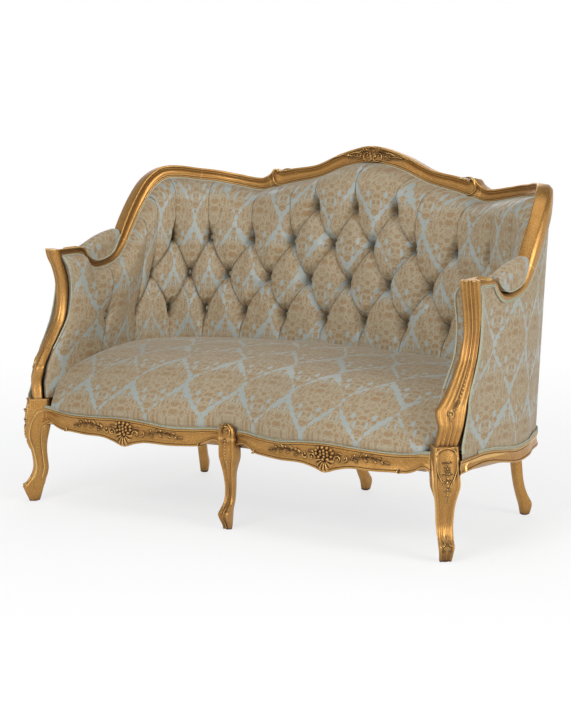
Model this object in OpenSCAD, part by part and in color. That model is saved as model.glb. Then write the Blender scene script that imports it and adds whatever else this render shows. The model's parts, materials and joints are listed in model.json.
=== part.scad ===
// Cabriole sofa: a carved and gilded show-wood frame with a deep-buttoned wrap-round back,
// padded arm rests and a tight crowned seat on webbing. Sizes are in millimetres.
// X runs along the sofa, the sitter faces -Y and Z is up. The origin is on the floor, at
// the middle of the outline. Right-hand pieces are modelled and left-hand ones mirrored.

/* [Overall] */
// Distance from the middle to the centre line of each arm rail
arm_x = 720; // [640:1:860]
// Distance from the middle to each front corner foot
foot_x = 717; // [640:1:860]
// Distance from the origin forward to the front feet
foot_y = 372; // [320:1:420]
// Distance from the origin back to the centre line of the crest rail
back_y = 390; // [350:1:440]
// Height of the crest rail's centre line at the middle
crest_z = 1018; // [960:1:1100]
// Drop of the back rail's centre line from the crest to its rounded shoulders
shoulder_drop = 68; // [50:1:90]
// Height of the arm rail's centre line where it meets the arm post
arm_z = 735; // [700:1:780]
// Depth of the scoop that the arm pad lies in
scoop_drop = 48; // [30:1:60]

/* [Show wood] */
// Thickness of the top rail and the arm rails
rail_t = 46; // [40:1:56]
// Height of the top rail on its plain runs
rail_h = 38; // [32:1:46]
// Height of the arm rail under the pad
arm_rail_h = 22; // [18:1:28]
// Depth of the cove between the rail's two beads
cove = 5; // [2:0.5:7]
// Thickness of the arm post
post_t = 28; // [24:1:34]
// Width of the arm post at its waist
post_w = 48; // [40:1:56]
// Turn of the arm post's face outward at its foot, in degrees
post_turn = 45; // [40:1:50]
// Width of the corner leg's square block
block_w = 70; // [60:1:76]
// Width of the centre leg's square block
centre_block_w = 54; // [46:1:62]
// Height of the top of the front corner legs
leg_top = 310; // [300:1:318]
// Height of the carved crest above the rail
crest_rise = 5; // [2:1:16]
// Height of the scroll at each end of the crest above the rail
scroll_rise = 13; // [6:1:18]
// Drop of the carved shell below each front rail
shell_drop = 18; // [8:1:28]

/* [Seat frame] */
// Thickness of the front, side and back seat rails
seat_rail_t = 44; // [36:1:50]
// Height of the ledge that the webbing lies on
ledge_z = 262; // [256:1:266]
// Height of the underside of the seat rails
rail_foot_z = 232; // [226:1:238]
// Distance from the back legs to the middle, along the rail
rear_leg_run = 572; // [556:1:590]
// Width of the rear legs
rear_leg_w = 38; // [32:1:44]
// Splay of the rear corner feet, outward and back
rear_splay = 56; // [30:1:70]
// Backward splay of the rear centre foot
centre_splay = 82; // [50:1:96]
// Width of one webbing strap
strap_w = 50; // [40:1:60]
// Thickness of one webbing strap
strap_t = 2; // [1.5:0.5:3]
// Number of straps from front to back
strap_count = 12; // [8:2:14]
// Number of straps from side to side
cross_strap_count = 6; // [4:1:7]

/* [Upholstery] */
// Height of the seat at its crown
seat_z = 470; // [450:1:490]
// Fall of the seat from its middle to the arms
seat_fall = 30; // [10:1:40]
// Spacing of the buttons along a row
button_pitch = 150; // [142:1:156]
// Height of the lowest row of buttons
button_z = 534; // [520:1:545]
// Drop from the crest rail's centre line to the highest row of buttons
top_row_drop = 157; // [150:1:170]
// Diameter of a covered button
button_d = 17; // [12:1:22]
// Distance from the frame's centre line to the top of the back's puffs
back_puff = 98; // [80:1:110]
// Distance from the frame's centre line to the top of the arm's puffs
arm_puff = 62; // [48:1:70]
// Depth of the buttons below the puffs
tuft_depth = 24; // [10:1:30]
// Thickness of the stretched outside covers
cover_t = 2.5; // [1.5:0.5:4]
// Diameter of the glides under the feet
glide_d = 18; // [14:1:22]
// Height of the glides
glide_h = 2; // [1.5:0.5:4]

/* [Hidden] */
$fn = 48;

gap = 0.3;
gilt = "#b98a3c";
beech = "#c9a878";
damask = "#b5a888";
base_z = ledge_z;
shoulder_z = crest_z - shoulder_drop;
row_pitch = (crest_z - top_row_drop - button_z) / 3;
frame_t = 23;
cover_q = frame_t / 2 + 1.3;
tack_top = 350;
front_y = -foot_y;
scoop_z = arm_z - scoop_drop;

// Smooth curves through named stations. A table row is [station, value, value, ...].
function lerp(a, b, t) = a + (b - a) * t;
function clamp01(t) = min(1, max(0, t));
function ease(t) = let(c = clamp01(t)) c * c * (3 - 2 * c);
function row(table, i) = table[min(max(i, 0), len(table) - 1)];
function slope(table, i) =
    let(a = row(table, i - 1), b = row(table, i + 1))
    (b - a) / (b[0] - a[0]);
function span_at(table, t, i = 0) =
    i >= len(table) - 2 || t < table[i + 1][0] ? i : span_at(table, t, i + 1);
function smooth(table, t) =
    let(i = span_at(table, t), a = table[i], b = table[i + 1], w = b[0] - a[0], s = (t - a[0]) / w)
    (2 * s ^ 3 - 3 * s ^ 2 + 1) * a + (s ^ 3 - 2 * s ^ 2 + s) * w * slope(table, i)
    + (3 * s ^ 2 - 2 * s ^ 3) * b + (s ^ 3 - s ^ 2) * w * slope(table, i + 1);
function unit(v) = v / norm(v);
function steps(a, b, n) = [for (i = [0:n]) lerp(a, b, i / n)];

// Direction that a face turned by an angle looks along, 0 being straight to the front
function facing(turn) = [sin(turn), -cos(turn), 0];

// Closed solid through rings that all have the same number of points
module loft(rings) {
    n = len(rings[0]);
    m = len(rings);
    side_faces = [
        for (i = [0:m - 2], j = [0:n - 1])
            let(a = i * n + j, b = i * n + (j + 1) % n)
            each [[a, b + n, b], [a, a + n, b + n]]
    ];
    first = [for (j = [0:n - 1]) j];
    last = [for (j = [n - 1:-1:0]) (m - 1) * n + j];
    polyhedron([for (r = rings) each r], concat([first], side_faces, [last]));
}

// Closed solid with a shaped face grid and a plain back.
// face[i][j] runs along the piece by i and upward by j, back[i] is [low, high], and ends holds
// a back point for every row of the first and the last column.
module quilt(face, back, ends) {
    n = len(face);
    m = len(face[0]);
    function f(i, j) = i * m + j;
    function b(i, k) = n * m + i * 2 + k;
    function e(side, j) =
        j == 0 ? b(side * (n - 1), 0) : j == m - 1 ? b(side * (n - 1), 1) : n * m + 2 * n + side * (m - 2) + j - 1;
    faces = concat(
        [for (i = [0:n - 2], j = [0:m - 2])
            each [[f(i, j), f(i, j + 1), f(i + 1, j + 1)], [f(i, j), f(i + 1, j + 1), f(i + 1, j)]]],
        [for (i = [0:n - 2]) each [
            [f(i, m - 1), b(i, 1), b(i + 1, 1)], [f(i, m - 1), b(i + 1, 1), f(i + 1, m - 1)],
            [f(i, 0), f(i + 1, 0), b(i + 1, 0)], [f(i, 0), b(i + 1, 0), b(i, 0)],
        ]],
        [for (i = [1:n - 3]) each i < n / 2 - 1
            ? [[b(i, 0), b(i + 1, 0), b(i, 1)], [b(i + 1, 0), b(i + 1, 1), b(i, 1)]]
            : [[b(i, 0), b(i + 1, 0), b(i + 1, 1)], [b(i, 0), b(i + 1, 1), b(i, 1)]]],
        [for (j = [0:m - 2]) each [
            [f(0, j), e(0, j), e(0, j + 1)], [f(0, j), e(0, j + 1), f(0, j + 1)],
            [f(n - 1, j), e(1, j + 1), e(1, j)], [f(n - 1, j), f(n - 1, j + 1), e(1, j + 1)],
            [b(1, 0), e(0, j + 1), e(0, j)], [b(n - 2, 0), e(1, j), e(1, j + 1)],
        ]],
        [[b(1, 0), b(1, 1), e(0, m - 1)], [b(n - 2, 0), e(1, m - 1), b(n - 2, 1)]]
    );
    polyhedron(concat(
        [for (c = face) each c], [for (c = back) each c],
        [for (side = [0, 1], j = [1:m - 2]) ends[side][j]]
    ), faces);
}

// Closed solid between two grids of the same size
module slab(a, b) {
    n = len(a);
    m = len(a[0]);
    function f(i, j) = i * m + j;
    function g(i, j) = n * m + i * m + j;
    faces = concat(
        [for (i = [0:n - 2], j = [0:m - 2]) each [
            [f(i, j), f(i, j + 1), f(i + 1, j + 1)], [f(i, j), f(i + 1, j + 1), f(i + 1, j)],
            [g(i, j), g(i + 1, j + 1), g(i, j + 1)], [g(i, j), g(i + 1, j), g(i + 1, j + 1)],
        ]],
        [for (i = [0:n - 2]) each [
            [f(i, 0), f(i + 1, 0), g(i + 1, 0)], [f(i, 0), g(i + 1, 0), g(i, 0)],
            [f(i, m - 1), g(i + 1, m - 1), f(i + 1, m - 1)], [f(i, m - 1), g(i, m - 1), g(i + 1, m - 1)],
        ]],
        [for (j = [0:m - 2]) each [
            [f(0, j), g(0, j + 1), f(0, j + 1)], [f(0, j), g(0, j), g(0, j + 1)],
            [f(n - 1, j), f(n - 1, j + 1), g(n - 1, j + 1)], [f(n - 1, j), g(n - 1, j + 1), g(n - 1, j)],
        ]]
    );
    polyhedron(concat([for (c = a) each c], [for (c = b) each c]), faces);
}

// Runs of the button columns: [pitches from the middle, run beyond an even spacing]
STRETCH = [
    [0, 0], [2, 0], [2.5, 4], [3, 11], [3.5, 18], [4, 25], [4.5, 33], [5, 50], [5.5, 52], [6.5, 125],
    [7.5, 165],
];
function run_of(pitches) =
    let(a = abs(pitches), s = a * button_pitch + smooth(STRETCH, a)[1])
    pitches < 0 ? -s : s;

// Height of the rail on its way down from a shoulder to the arm
function fall(share) = shoulder_z + (arm_z - shoulder_z) * share;

// The line of the frame round the right half, from the middle of the back to the arm post:
// [run, top x, top y, top z, face turn, rail height, base x, base y]
WRAP = [
    [-100, -100, back_y - 1, crest_z - 17, 1, rail_h + 6, -98, back_y - 138],
    [0, 0, back_y, crest_z, 0, rail_h + 8, 0, back_y - 138],
    [100, 100, back_y - 1, crest_z - 17, -1, rail_h + 6, 98, back_y - 138],
    [200, 201, back_y - 2, shoulder_z + 12, -2, rail_h + 3, 196, back_y - 139],
    [300, 300, back_y - 5, shoulder_z - 7, -3, rail_h + 7, 294, back_y - 140],
    [370, 370, back_y - 9, shoulder_z - 25, -5, rail_h + 5, 364, back_y - 141],
    [410, 408, back_y - 13, shoulder_z - 35, -8, rail_h, 402, back_y - 142],
    [500, arm_x - 222, back_y - 36, shoulder_z - 22, -16, rail_h - 2, arm_x - 230, back_y - 144],
    [560, arm_x - 167, back_y - 64, shoulder_z - 12, -24, rail_h - 2, arm_x - 170, back_y - 150],
    [620, arm_x - 117, back_y - 100, shoulder_z - 6, -36, rail_h - 1, arm_x - 114, back_y - 169],
    [680, arm_x - 72, back_y - 141, shoulder_z + 1, -50, rail_h, arm_x - 66, back_y - 208],
    [735, arm_x - 37, back_y - 187, shoulder_z - 2, -66, rail_h + 2, arm_x - 34, back_y - 258],
    [785, arm_x - 16, back_y - 232, fall(0.144), -80, rail_h + 4, arm_x - 12, back_y - 320],
    [850, arm_x - 6, back_y - 274, fall(0.372), -87, rail_h + 6, arm_x + 10, back_y - 374],
    [930, arm_x - 2, front_y + 443, fall(0.665), -90, rail_h + 6, arm_x + 20, front_y + 328],
    [1010, arm_x - 1, front_y + 397, fall(0.986), -90, rail_h, arm_x + 24, front_y + 283],
    [1060, arm_x, front_y + 362, arm_z - 31, -90, arm_rail_h + 6, arm_x + 25, front_y + 250],
    [1130, arm_x, front_y + 298, scoop_z, -90, arm_rail_h, arm_x + 24, front_y + 193],
    [1165, arm_x, front_y + 260, scoop_z + 3, -90, arm_rail_h, arm_x + 22, front_y + 163],
    [1195, arm_x, front_y + 232, scoop_z + 23, -90, arm_rail_h - 2, arm_x + 21, front_y + 140],
    [1215, arm_x, front_y + 221, arm_z - 8, -90, arm_rail_h - 2, arm_x + 20, front_y + 123],
    [1235, arm_x, front_y + 205, arm_z, -90, arm_rail_h - 2, arm_x + 20, front_y + 106],
    [1290, arm_x + 1, front_y + 150, arm_z, -90, arm_rail_h - 2, arm_x + 20, front_y + 68],
];
rail_end = 1290;
// Stations shared by the rails, the boards and the covers, so that their edges run together
QUARTERS = [for (i = [0:22]) run_of(i / 4)];
crest_half = QUARTERS[10];
leg_half = rear_leg_w / 2 + gap;
corner_start = rear_leg_run + leg_half + 16;
arm_start = 990;
LINE = concat(
    [for (s = QUARTERS) if (s < rear_leg_run - leg_half - 5) s],
    [rear_leg_run - leg_half, rear_leg_run + leg_half, corner_start],
    [for (s = QUARTERS) if (s > corner_start + 9) s],
    [920, 955, arm_start, 1025, 1060, 1100, 1130],
    [1165, 1178, 1190, 1202, 1212, 1223, 1240, 1262, rail_end]
);
// The covers and boards leave out stations where the arm rail's lower edge curves away from them
COVER_LINE = [for (s = LINE) if (s != 1223 && s != 1262) s];
function stations(from, to, line = LINE) =
    concat([from], [for (s = line) if (s > from + 2 && s < to - 2) s], [to]);
function mirrored(list) = [for (i = [len(list) - 1:-1:0]) -list[i]];

function wrap(s) = smooth(WRAP, s);
function top_at(s) = let(w = wrap(s)) [w[1], w[2], w[3]];
function top_dir(s) = unit(top_at(s + 2) - top_at(s - 2));
function rail_up(s) = unit(cross(facing(wrap(s)[4]), top_dir(s)));

// Lower edge of the top rail or arm rail, where the covers end
function edge_at(s) = top_at(s) - (wrap(s)[5] / 2 + gap) * rail_up(s);

// Centre of the frame's thickness at a run and a height, and a point proud of it
function mid_at(s, z) =
    let(w = wrap(s), e = edge_at(s), k = (z - base_z) / (e[2] - base_z))
    [lerp(w[6], e[0], k), lerp(w[7], e[1], k), z];
function skin(s, z, q) = mid_at(s, z) + q * facing(wrap(s)[4]);

// Arm post: [height, x, y, width, turn]
POST = [
    [leg_top + gap, arm_x - 8, front_y + 11, block_w - 10, post_turn],
    [330, arm_x - 4, front_y + 14, block_w - 8, post_turn],
    [360, arm_x + 1, front_y + 18, block_w - 5, post_turn],
    [385, arm_x - 2, front_y + 21, block_w + 7, post_turn],
    [405, arm_x - 3, front_y + 26, block_w + 10, post_turn - 1],
    [420, arm_x - 2, front_y + 35, block_w + 2, post_turn - 2],
    [450, arm_x - 2, front_y + 59, block_w - 8, post_turn - 4],
    [490, arm_x - 4, front_y + 89, post_w + 8, post_turn - 7],
    [540, arm_x - 6, front_y + 121, post_w + 1, post_turn - 11],
    [600, arm_x - 5, front_y + 135, post_w - 1, post_turn - 14],
    [650, arm_x - 4, front_y + 133, post_w + 1, post_turn - 17],
    [690, arm_x - 1, front_y + 123, post_w + 3, post_turn - 19],
    [720, arm_x + 4, front_y + 110, post_w + 4, post_turn - 20],
    [arm_z + 10, arm_x + 6, front_y + 104, post_w + 3, post_turn - 20],
];

// Corner leg: [height, offset along the diagonal, width, thickness]
CORNER_LEG = [
    [glide_h, 1, 34, 32], [10, 1, 37, 38], [30, 3, 41, 53], [44, 3, 44, 61], [54, -3, 44, 56],
    [66, -9, 43, 50], [82, -16, 43, 47], [102, -20, 44, 45], [134, -17, 47, 45], [160, -13, 53, 50],
    [184, -9, 62, 60], [204, -8, block_w, 68], [232, -12, block_w, 72], [272, -14, block_w, 68],
    [leg_top, -15, block_w - 4, 62],
];
// Centre leg: [height, offset forward, width, thickness]
CENTRE_LEG = [
    [glide_h, 0, 26, 28], [12, 0, 28, 32], [34, 6, 34, 44], [47, 8, 36, 49], [58, 2, 34, 42],
    [78, -10, 32, 34], [108, -16, 32, 32], [150, -14, 36, 36], [184, -10, 45, 42],
    [208, -8, centre_block_w, 46], [240, -7, centre_block_w, 46], [ledge_z, -7, centre_block_w, 46],
    [ledge_z + 1, 4, centre_block_w, 24], [276, 4, centre_block_w, 24],
    [292, 5, centre_block_w - 10, 22], [302, 6, centre_block_w - 28, 19],
];
// Rear leg: [height, splay as a share, width, thickness]
REAR_LEG = [
    [glide_h, 1, 24, 26], [12, 1.02, 27, 32], [30, 1.04, 31, 40], [42, 0.95, 31, 40],
    [56, 0.8, 30, 34], [88, 0.58, 30, 30], [122, 0.46, 31, 30], [166, 0.38, 33, 32],
    [210, 0.2, rear_leg_w - 2, rear_leg_w - 2], [232, 0, rear_leg_w, rear_leg_w],
    [ledge_z - 1, 0, rear_leg_w, rear_leg_w],
];
corner_c = [foot_x - 9, front_y + 9];
centre_y = front_y + 3;

// Front rail of one bay: [x, face y, lower edge, upper edge, turn of the end cut]
bay_mid = (centre_block_w / 2 + foot_x - 44) / 2;
FRONT_RAIL = [
    [centre_block_w / 2 + gap, front_y, 242, 279, 0],
    [50, front_y - 2, 248, 281, 0],
    [75, front_y - 6, 240, 280, 0],
    [98, front_y - 10, 229, 277, 0],
    [120, front_y - 14, 226, 275, 0],
    [195, front_y - 25, 222, 273, 0],
    [bay_mid - 80, front_y - 33, 223, 281, 0],
    [bay_mid - 35, front_y - 35, 224 - shell_drop / 2, 284, 0],
    [bay_mid, front_y - 36, 223 - shell_drop, 285, 0],
    [bay_mid + 35, front_y - 35, 224 - shell_drop / 2, 284, 0],
    [bay_mid + 80, front_y - 32, 224, 281, 0],
    [foot_x - 217, front_y - 25, 223, 277, 0],
    [foot_x - 157, front_y - 18, 225, 275, 0],
    [foot_x - 117, front_y - 13, 226, 277, 2],
    [foot_x - 89, front_y - 10, 234, 280, 16],
    [foot_x - 65, front_y - 8, 245, 283, 32],
    [corner_c[0] + corner_c[1] - front_y + 8 - (block_w / 2 + gap) * sqrt(2), front_y - 8, 236, 284, 45],
];
// Side rail edges by run: [run, lower edge, upper edge]
SIDE_RAIL = [
    [600, 236, 278], [700, 236, 278], [785, 236, 276], [850, 232, 272], [930, 227, 267],
    [1010, 229, 267], [1090, 238, 274], [1165, 247, 280], [1250, 247, 280], [1300, 237, 274],
];

// Moulded face from top to foot of a rail of height h: [along the height, proud of the face]
function moulding(h, bead, hollow) = [
    [h / 2, -bead * 0.6], [h / 2 - bead * 0.3, -bead * 0.1], [h / 2 - bead, 0],
    [h / 2 - bead * 1.6, -hollow * 0.6], [h * 0.12, -hollow], [-h * 0.12, -hollow],
    [-h / 2 + bead * 1.6, -hollow * 0.6], [-h / 2 + bead, 0], [-h / 2 + bead * 0.3, -bead * 0.1],
    [-h / 2, -bead * 0.6],
];
// Section of the top rail: [height, proud], the back being eased and the face moulded
function top_section(h, t, raised) = concat(
    [[-h / 2, -t / 2 + 4], [-h / 2 + 4, -t / 2], [h / 2 - 15, -t / 2], [h / 2 - 5, -t / 2 + 9]],
    [for (p = moulding(h, 7, cove)) [p[0], t / 2 + p[1] + raised]]
);
// Section of a seat rail between a low and a high edge, with a ledge behind its lip
function seat_section(low, high, lip) =
    let(mid = (low + high) / 2)
    concat(
        [[ledge_z, -lip], [high - 1, -lip]],
        [for (p = moulding(high - low, 6, min(cove, lip - 2))) [mid + p[0], p[1]]],
        [[low, -lip - 6], [rail_foot_z, -seat_rail_t + 14], [rail_foot_z, -seat_rail_t], [ledge_z, -seat_rail_t]]
    );
// Section of a leg: a face with two edge beads, and a back of its own width with eased corners
function leg_section(w, t, back) = let(b = w / 2 * back) [
    [w / 2 - 7, t / 2], [w / 2 - 2, t / 2 - 2], [w / 2, t / 2 - 8],
    [b, -t / 2 + 8], [b - 8, -t / 2], [-b + 8, -t / 2],
    [-b, -t / 2 + 8], [-w / 2, t / 2 - 8], [-w / 2 + 2, t / 2 - 2], [-w / 2 + 7, t / 2],
    [-w / 2 + 12, t / 2 - 3], [0, t / 2 - 1], [w / 2 - 12, t / 2 - 3],
];
// A leg's back is as wide as its face at the seat rails and narrower below them
function back_share(z) = lerp(0.66, 1, ease((z - 150) / 54));
// Section of the arm post: two reeds with a rib between them
function post_section(w, t) = [
    [w / 2, t / 2 - 6], [w / 2, -t / 2 + 4], [w / 2 - 4, -t / 2], [-w / 2 + 4, -t / 2],
    [-w / 2, -t / 2 + 4], [-w / 2, t / 2 - 6], [-w * 0.44, t / 2 - 1], [-w * 0.34, t / 2],
    [-w * 0.2, t / 2 - 4], [-w * 0.1, t / 2 - 3], [0, t / 2 + 1], [w * 0.1, t / 2 - 3],
    [w * 0.2, t / 2 - 4], [w * 0.34, t / 2], [w * 0.44, t / 2 - 1],
];

// Ring of a rail at run s of the frame line
function rail_ring(s, raised = 0) =
    let(w = wrap(s), p = top_at(s), n = facing(w[4]), u = rail_up(s))
    [for (c = top_section(w[5], rail_t, raised)) p + c[0] * u + c[1] * n];
// Level ring of an upright at a point
function level_ring(p, turn, section) =
    let(n = facing(turn), a = [-cos(turn), -sin(turn), 0])
    [for (c = section) p + c[0] * a + c[1] * n];

module side(hand) {
    mirror([hand < 0 ? 1 : 0, 0, 0]) children();
}

// Carved crest: a shell that swells the rail up and forward at the middle, and a scroll near each end
scroll_run = 352;
function crest_swell(s) = exp(-((s / 62) ^ 2));
function scroll_swell(s) = exp(-(((abs(s) - scroll_run) / 14) ^ 2));
function crest_ring(s) =
    let(a = abs(s), w = wrap(a), p = top_at(a), n = facing(w[4]), u = rail_up(max(a, 1)),
        swell = crest_swell(s), scroll = scroll_swell(a), flute = 1 + 0.25 * cos(s * 18))
    [for (c = top_section(w[5], rail_t, 0))
        let(q = p + (c[0] + (c[0] > 0 ? crest_rise * swell + scroll_rise * scroll : 0)) * u
                + (c[1] + (c[1] > 0 ? 8 * swell * flute + 3 * scroll : 0)) * n)
        [s < 0 ? -q[0] : q[0], q[1], q[2]]];

module crest_rail_centre() {
    scroll = [for (k = [-27, -18, -9, 0, 9, 18]) scroll_run + k];
    plain = concat([for (s = QUARTERS) if (s >= QUARTERS[3] && s < scroll[0] - 5) s], scroll, [crest_half]);
    color(gilt) loft([for (s = concat(mirrored(plain), steps(-95, 95, 18), plain)) crest_ring(s)]);
}

module top_rail(hand) {
    color(gilt) side(hand) loft([for (s = stations(crest_half + gap, corner_start)) rail_ring(s)]);
}

module corner_rail(hand) {
    color(gilt) side(hand) loft([for (s = stations(corner_start + gap, arm_start)) rail_ring(s)]);
}

module arm_rail(hand) {
    last = let(w = wrap(rail_end), p = [w[1], w[2], w[3]])
        [for (c = top_section(w[5], rail_t * 0.8, 0))
            let(x = -c[1], y = post_back_y(p[0] + x, p[2] + c[0])) [p[0] + x, y, p[2] + c[0]]];
    color(gilt) side(hand) loft(concat(
        [for (s = stations(arm_start + gap, 1262)) rail_ring(s)],
        [last]
    ));
}

// How far forward a piece may reach before it meets the arm post, or the leg under it
function post_back_y(x, z) =
    let(p = smooth(POST, max(z, POST[0][0])), turn = p[4],
        back = p[2] + ((x - p[1]) * sin(turn) + post_t / 2 + gap) / cos(turn),
        flank = p[2] + (p[3] / 2 + gap - (x - p[1]) * cos(turn)) / sin(turn),
        y = min(back, flank))
    z < leg_top + 1 ? max(y, corner_c[0] + corner_c[1] + (block_w / 2 + gap) * sqrt(2) - x) : y;

module arm_post(hand) {
    heights = concat(steps(leg_top + gap, 400, 5), [412, 425, 445], steps(470, arm_z + 10, 12));
    color(gilt) side(hand) loft([
        for (z = heights) let(p = smooth(POST, z)) level_ring([p[1], p[2], z], p[4], post_section(p[3], post_t))
    ]);
}

module front_leg(hand) {
    out = facing(45);
    color(gilt) side(hand) loft([
        for (k = CORNER_LEG)
            level_ring([foot_x, front_y, k[0]] + k[1] * out, 45, leg_section(k[2], k[3], back_share(k[0])))
    ]);
}

module front_leg_centre() {
    color(gilt) loft([
        for (k = CENTRE_LEG)
            level_ring([0, centre_y - k[1], k[0]], 0, leg_section(k[2], k[3], back_share(k[0])))
    ]);
}

// Plain section of a rear leg or stile
function plain_section(w, t) = let(e = min(w, t) / 5) [
    [w / 2, -t / 2 + e], [w / 2 - e, -t / 2], [-w / 2 + e, -t / 2], [-w / 2, -t / 2 + e],
    [-w / 2, t / 2 - e], [-w / 2 + e, t / 2], [w / 2 - e, t / 2], [w / 2, t / 2 - e],
];

// Where a rear foot stands out from the frame line
function splay_at(s) = s == 0 ? [0, centre_splay, 0] : rear_splay * [sin(21), cos(21), 0];
// Rear leg that runs on up as the stile of the back, at run s
module rear_upright(s) {
    turn = wrap(s)[4];
    foot = mid_at(s, base_z);
    stile = plain_section(rear_leg_w - 8, frame_t - 4);
    color(gilt) loft(concat(
        [for (k = REAR_LEG)
            level_ring([foot[0], foot[1], k[0]] + k[1] * splay_at(s), turn, plain_section(k[2], k[3]))],
        [for (z = [ledge_z, 600, 800]) level_ring(mid_at(s, z), turn, stile)],
        [[for (i = [0:len(stile) - 1])
            let(z = edge_at(abs(s - stile[i][0]))[2] - 0.6) level_ring(mid_at(s, z), turn, stile)[i]]]
    ));
}

module rear_leg(hand) {
    side(hand) rear_upright(rear_leg_run);
}

module rear_leg_centre() {
    rear_upright(0);
}

module front_rail(hand) {
    color(gilt) side(hand) loft([
        for (k = FRONT_RAIL)
            let(turn = k[4], n = facing(turn) / cos(turn))
            [for (c = seat_section(k[2], k[3], 12)) [k[0], k[1], c[0]] + c[1] * n]
    ]);
}

// Ring of a seat rail's end, square to the flank of the rear leg at run s.
// way is 1 past the leg and -1 before it, and out is 1 for a section measured inward.
function flank_ring(s, way, section, out) =
    let(turn = wrap(s)[4], n = out * facing(turn),
        flank = mid_at(s, base_z) + way * leg_half * [cos(turn), sin(turn), 0],
        p = flank + ((mid_at(s + way * leg_half, base_z) - flank) * n) * n)
    [for (c = section) [p[0], p[1], 0] + c[1] * n + [0, 0, c[0]]];

// Ring of a side rail: the face line lies half a rail outside the frame line
function side_ring(s) =
    let(k = smooth(SIDE_RAIL, s), w = wrap(s), n = -facing(w[4]), p = [w[6], w[7], 0] + seat_rail_t / 2 * n)
    [for (c = seat_section(k[1], k[2], 5)) p + [0, 0, c[0]] + c[1] * n];
// End of a side rail, cut along the flank of the corner leg
function side_end_ring() =
    let(k = smooth(SIDE_RAIL, 1300), w = wrap(rail_end), x = w[6] + seat_rail_t / 2,
        flank = corner_c[0] + corner_c[1] + (block_w / 2 + gap) * sqrt(2))
    [for (c = seat_section(k[1], k[2], 5)) [x + c[1], flank - x - c[1], c[0]]];

module side_rail(hand) {
    k = smooth(SIDE_RAIL, rear_leg_run + rear_leg_w / 2);
    last = [for (c = seat_section(k[1], k[2], 5)) [c[0], c[1] + seat_rail_t / 2]];
    color(gilt) side(hand) loft(concat(
        [side_end_ring()],
        [for (s = mirrored(stations(corner_start, 1225, COVER_LINE))) side_ring(-s)],
        [flank_ring(rear_leg_run, 1, last, -1)]
    ));
}

module back_rail(hand) {
    half = seat_rail_t / 2;
    section = [[rail_foot_z, -half], [ledge_z, -half], [ledge_z, half], [rail_foot_z, half]];
    color(beech) side(hand) loft(concat(
        [flank_ring(0, 1, section, 1)],
        [for (s = stations(60, rear_leg_run - 31))
            [for (c = section) mid_at(s, base_z) + [0, 0, c[0] - base_z] + c[1] * facing(wrap(s)[4])]],
        [flank_ring(rear_leg_run, -1, section, 1)]
    ));
}

// Rail across the seat, from the centre front leg to the centre rear leg
module cross_rail() {
    front = centre_y + 7 + 23 + gap;
    back = mid_at(0, base_z)[1] - rear_leg_w / 2 - gap;
    w = rear_leg_w - 1;
    color(beech) translate([-w / 2, front, rail_foot_z]) cube([w, back - front, ledge_z - rail_foot_z]);
}

// Glue block behind each front corner leg, between the ends of the two rails
module front_corner_blocks() {
    sum = corner_c[0] + corner_c[1];
    half = (block_w / 2 + gap) * sqrt(2);
    leg_back = foot_x - front_y - (48 + gap) * sqrt(2);
    rail_y = front_y - 8 + seat_rail_t + gap;
    rail_x = wrap(rail_end)[6] - seat_rail_t / 2 - gap;
    tip = [(sum - half + leg_back) / 2, (sum - half - leg_back) / 2];
    rear = [(sum + half + leg_back) / 2, (sum + half - leg_back) / 2];
    for (hand = [-1, 1])
        color(beech) side(hand) translate([0, 0, rail_foot_z + 2])
            linear_extrude(ledge_z - rail_foot_z - 6)
                polygon([
                    [sum - half - rail_y + 0.2, rail_y], tip + [-0.5, 0.9], rear + [-0.9, 0.5],
                    [rail_x, rail_x - leg_back], [rail_x, rail_x - leg_back + 50],
                    [rail_x - 14, rail_x - leg_back + 52], [tip[0] - 62, rail_y + 14],
                    [tip[0] - 60, rail_y],
                ]);
}

// Glue block inside each rear corner leg, seated on the dust cover's line
module rear_corner_blocks() {
    q = seat_rail_t / 2 + 3.4;
    color(beech) for (hand = [-1, 1])
        side(hand) translate([0, 0, rail_foot_z]) linear_extrude(ledge_z - rail_foot_z - 4)
            polygon([for (k = [[-44, q], [-20, q], [20, q], [44, q], [30, 46], [-30, 46]])
                let(p = skin(rear_leg_run + k[0], base_z, k[1])) [p[0], p[1]]]);
}

// Board on the seat rails that the covers are tacked to, following the frame line
module tack_board(from, to) {
    half = frame_t / 2;
    color(beech) loft([
        for (s = stations(from, to, COVER_LINE))
            [for (c = [[ledge_z + gap, -half], [tack_top, -half], [tack_top, half], [ledge_z + gap, half]])
                skin(s, c[0], c[1])]
    ]);
}

module back_tack_boards() {
    for (hand = [-1, 1])
        side(hand) tack_board(rear_leg_w / 2 + 1.2, rear_leg_run - rear_leg_w / 2 - 3);
}

module arm_tack_boards() {
    for (hand = [-1, 1])
        side(hand) tack_board(rear_leg_run + rear_leg_w / 2 + 3, 1245);
}

// Front edge and back edge of the seat frame's opening at an x
function front_face_y(x) = smooth([for (k = FRONT_RAIL) [k[0], k[1]]], max(abs(x), FRONT_RAIL[0][0]))[1];
function back_line_y(x) = smooth([for (k = WRAP) if (k[0] >= 0 && k[0] <= 620) [k[6], k[7]]], abs(x))[1];
function side_line_x(y) = smooth([for (i = [len(WRAP) - 1:-1:10]) [WRAP[i][7], WRAP[i][6]]], y)[1];

strap_span = arm_x - 155;
lap = seat_rail_t / 2 - frame_t / 2 - 3;
module webbing_long() {
    color("#6d5a3c") for (i = [0:strap_count - 1]) {
        x = lerp(-strap_span, strap_span, (i + 0.5) / strap_count);
        front = max(front_face_y(x - strap_w / 2), front_face_y(x + strap_w / 2)) + seat_rail_t - lap;
        back = min(back_line_y(x - strap_w / 2), back_line_y(x + strap_w / 2)) - seat_rail_t / 2 + lap;
        translate([x - strap_w / 2, front, ledge_z + gap / 3]) cube([strap_w, back - front, strap_t]);
    }
}

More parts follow.
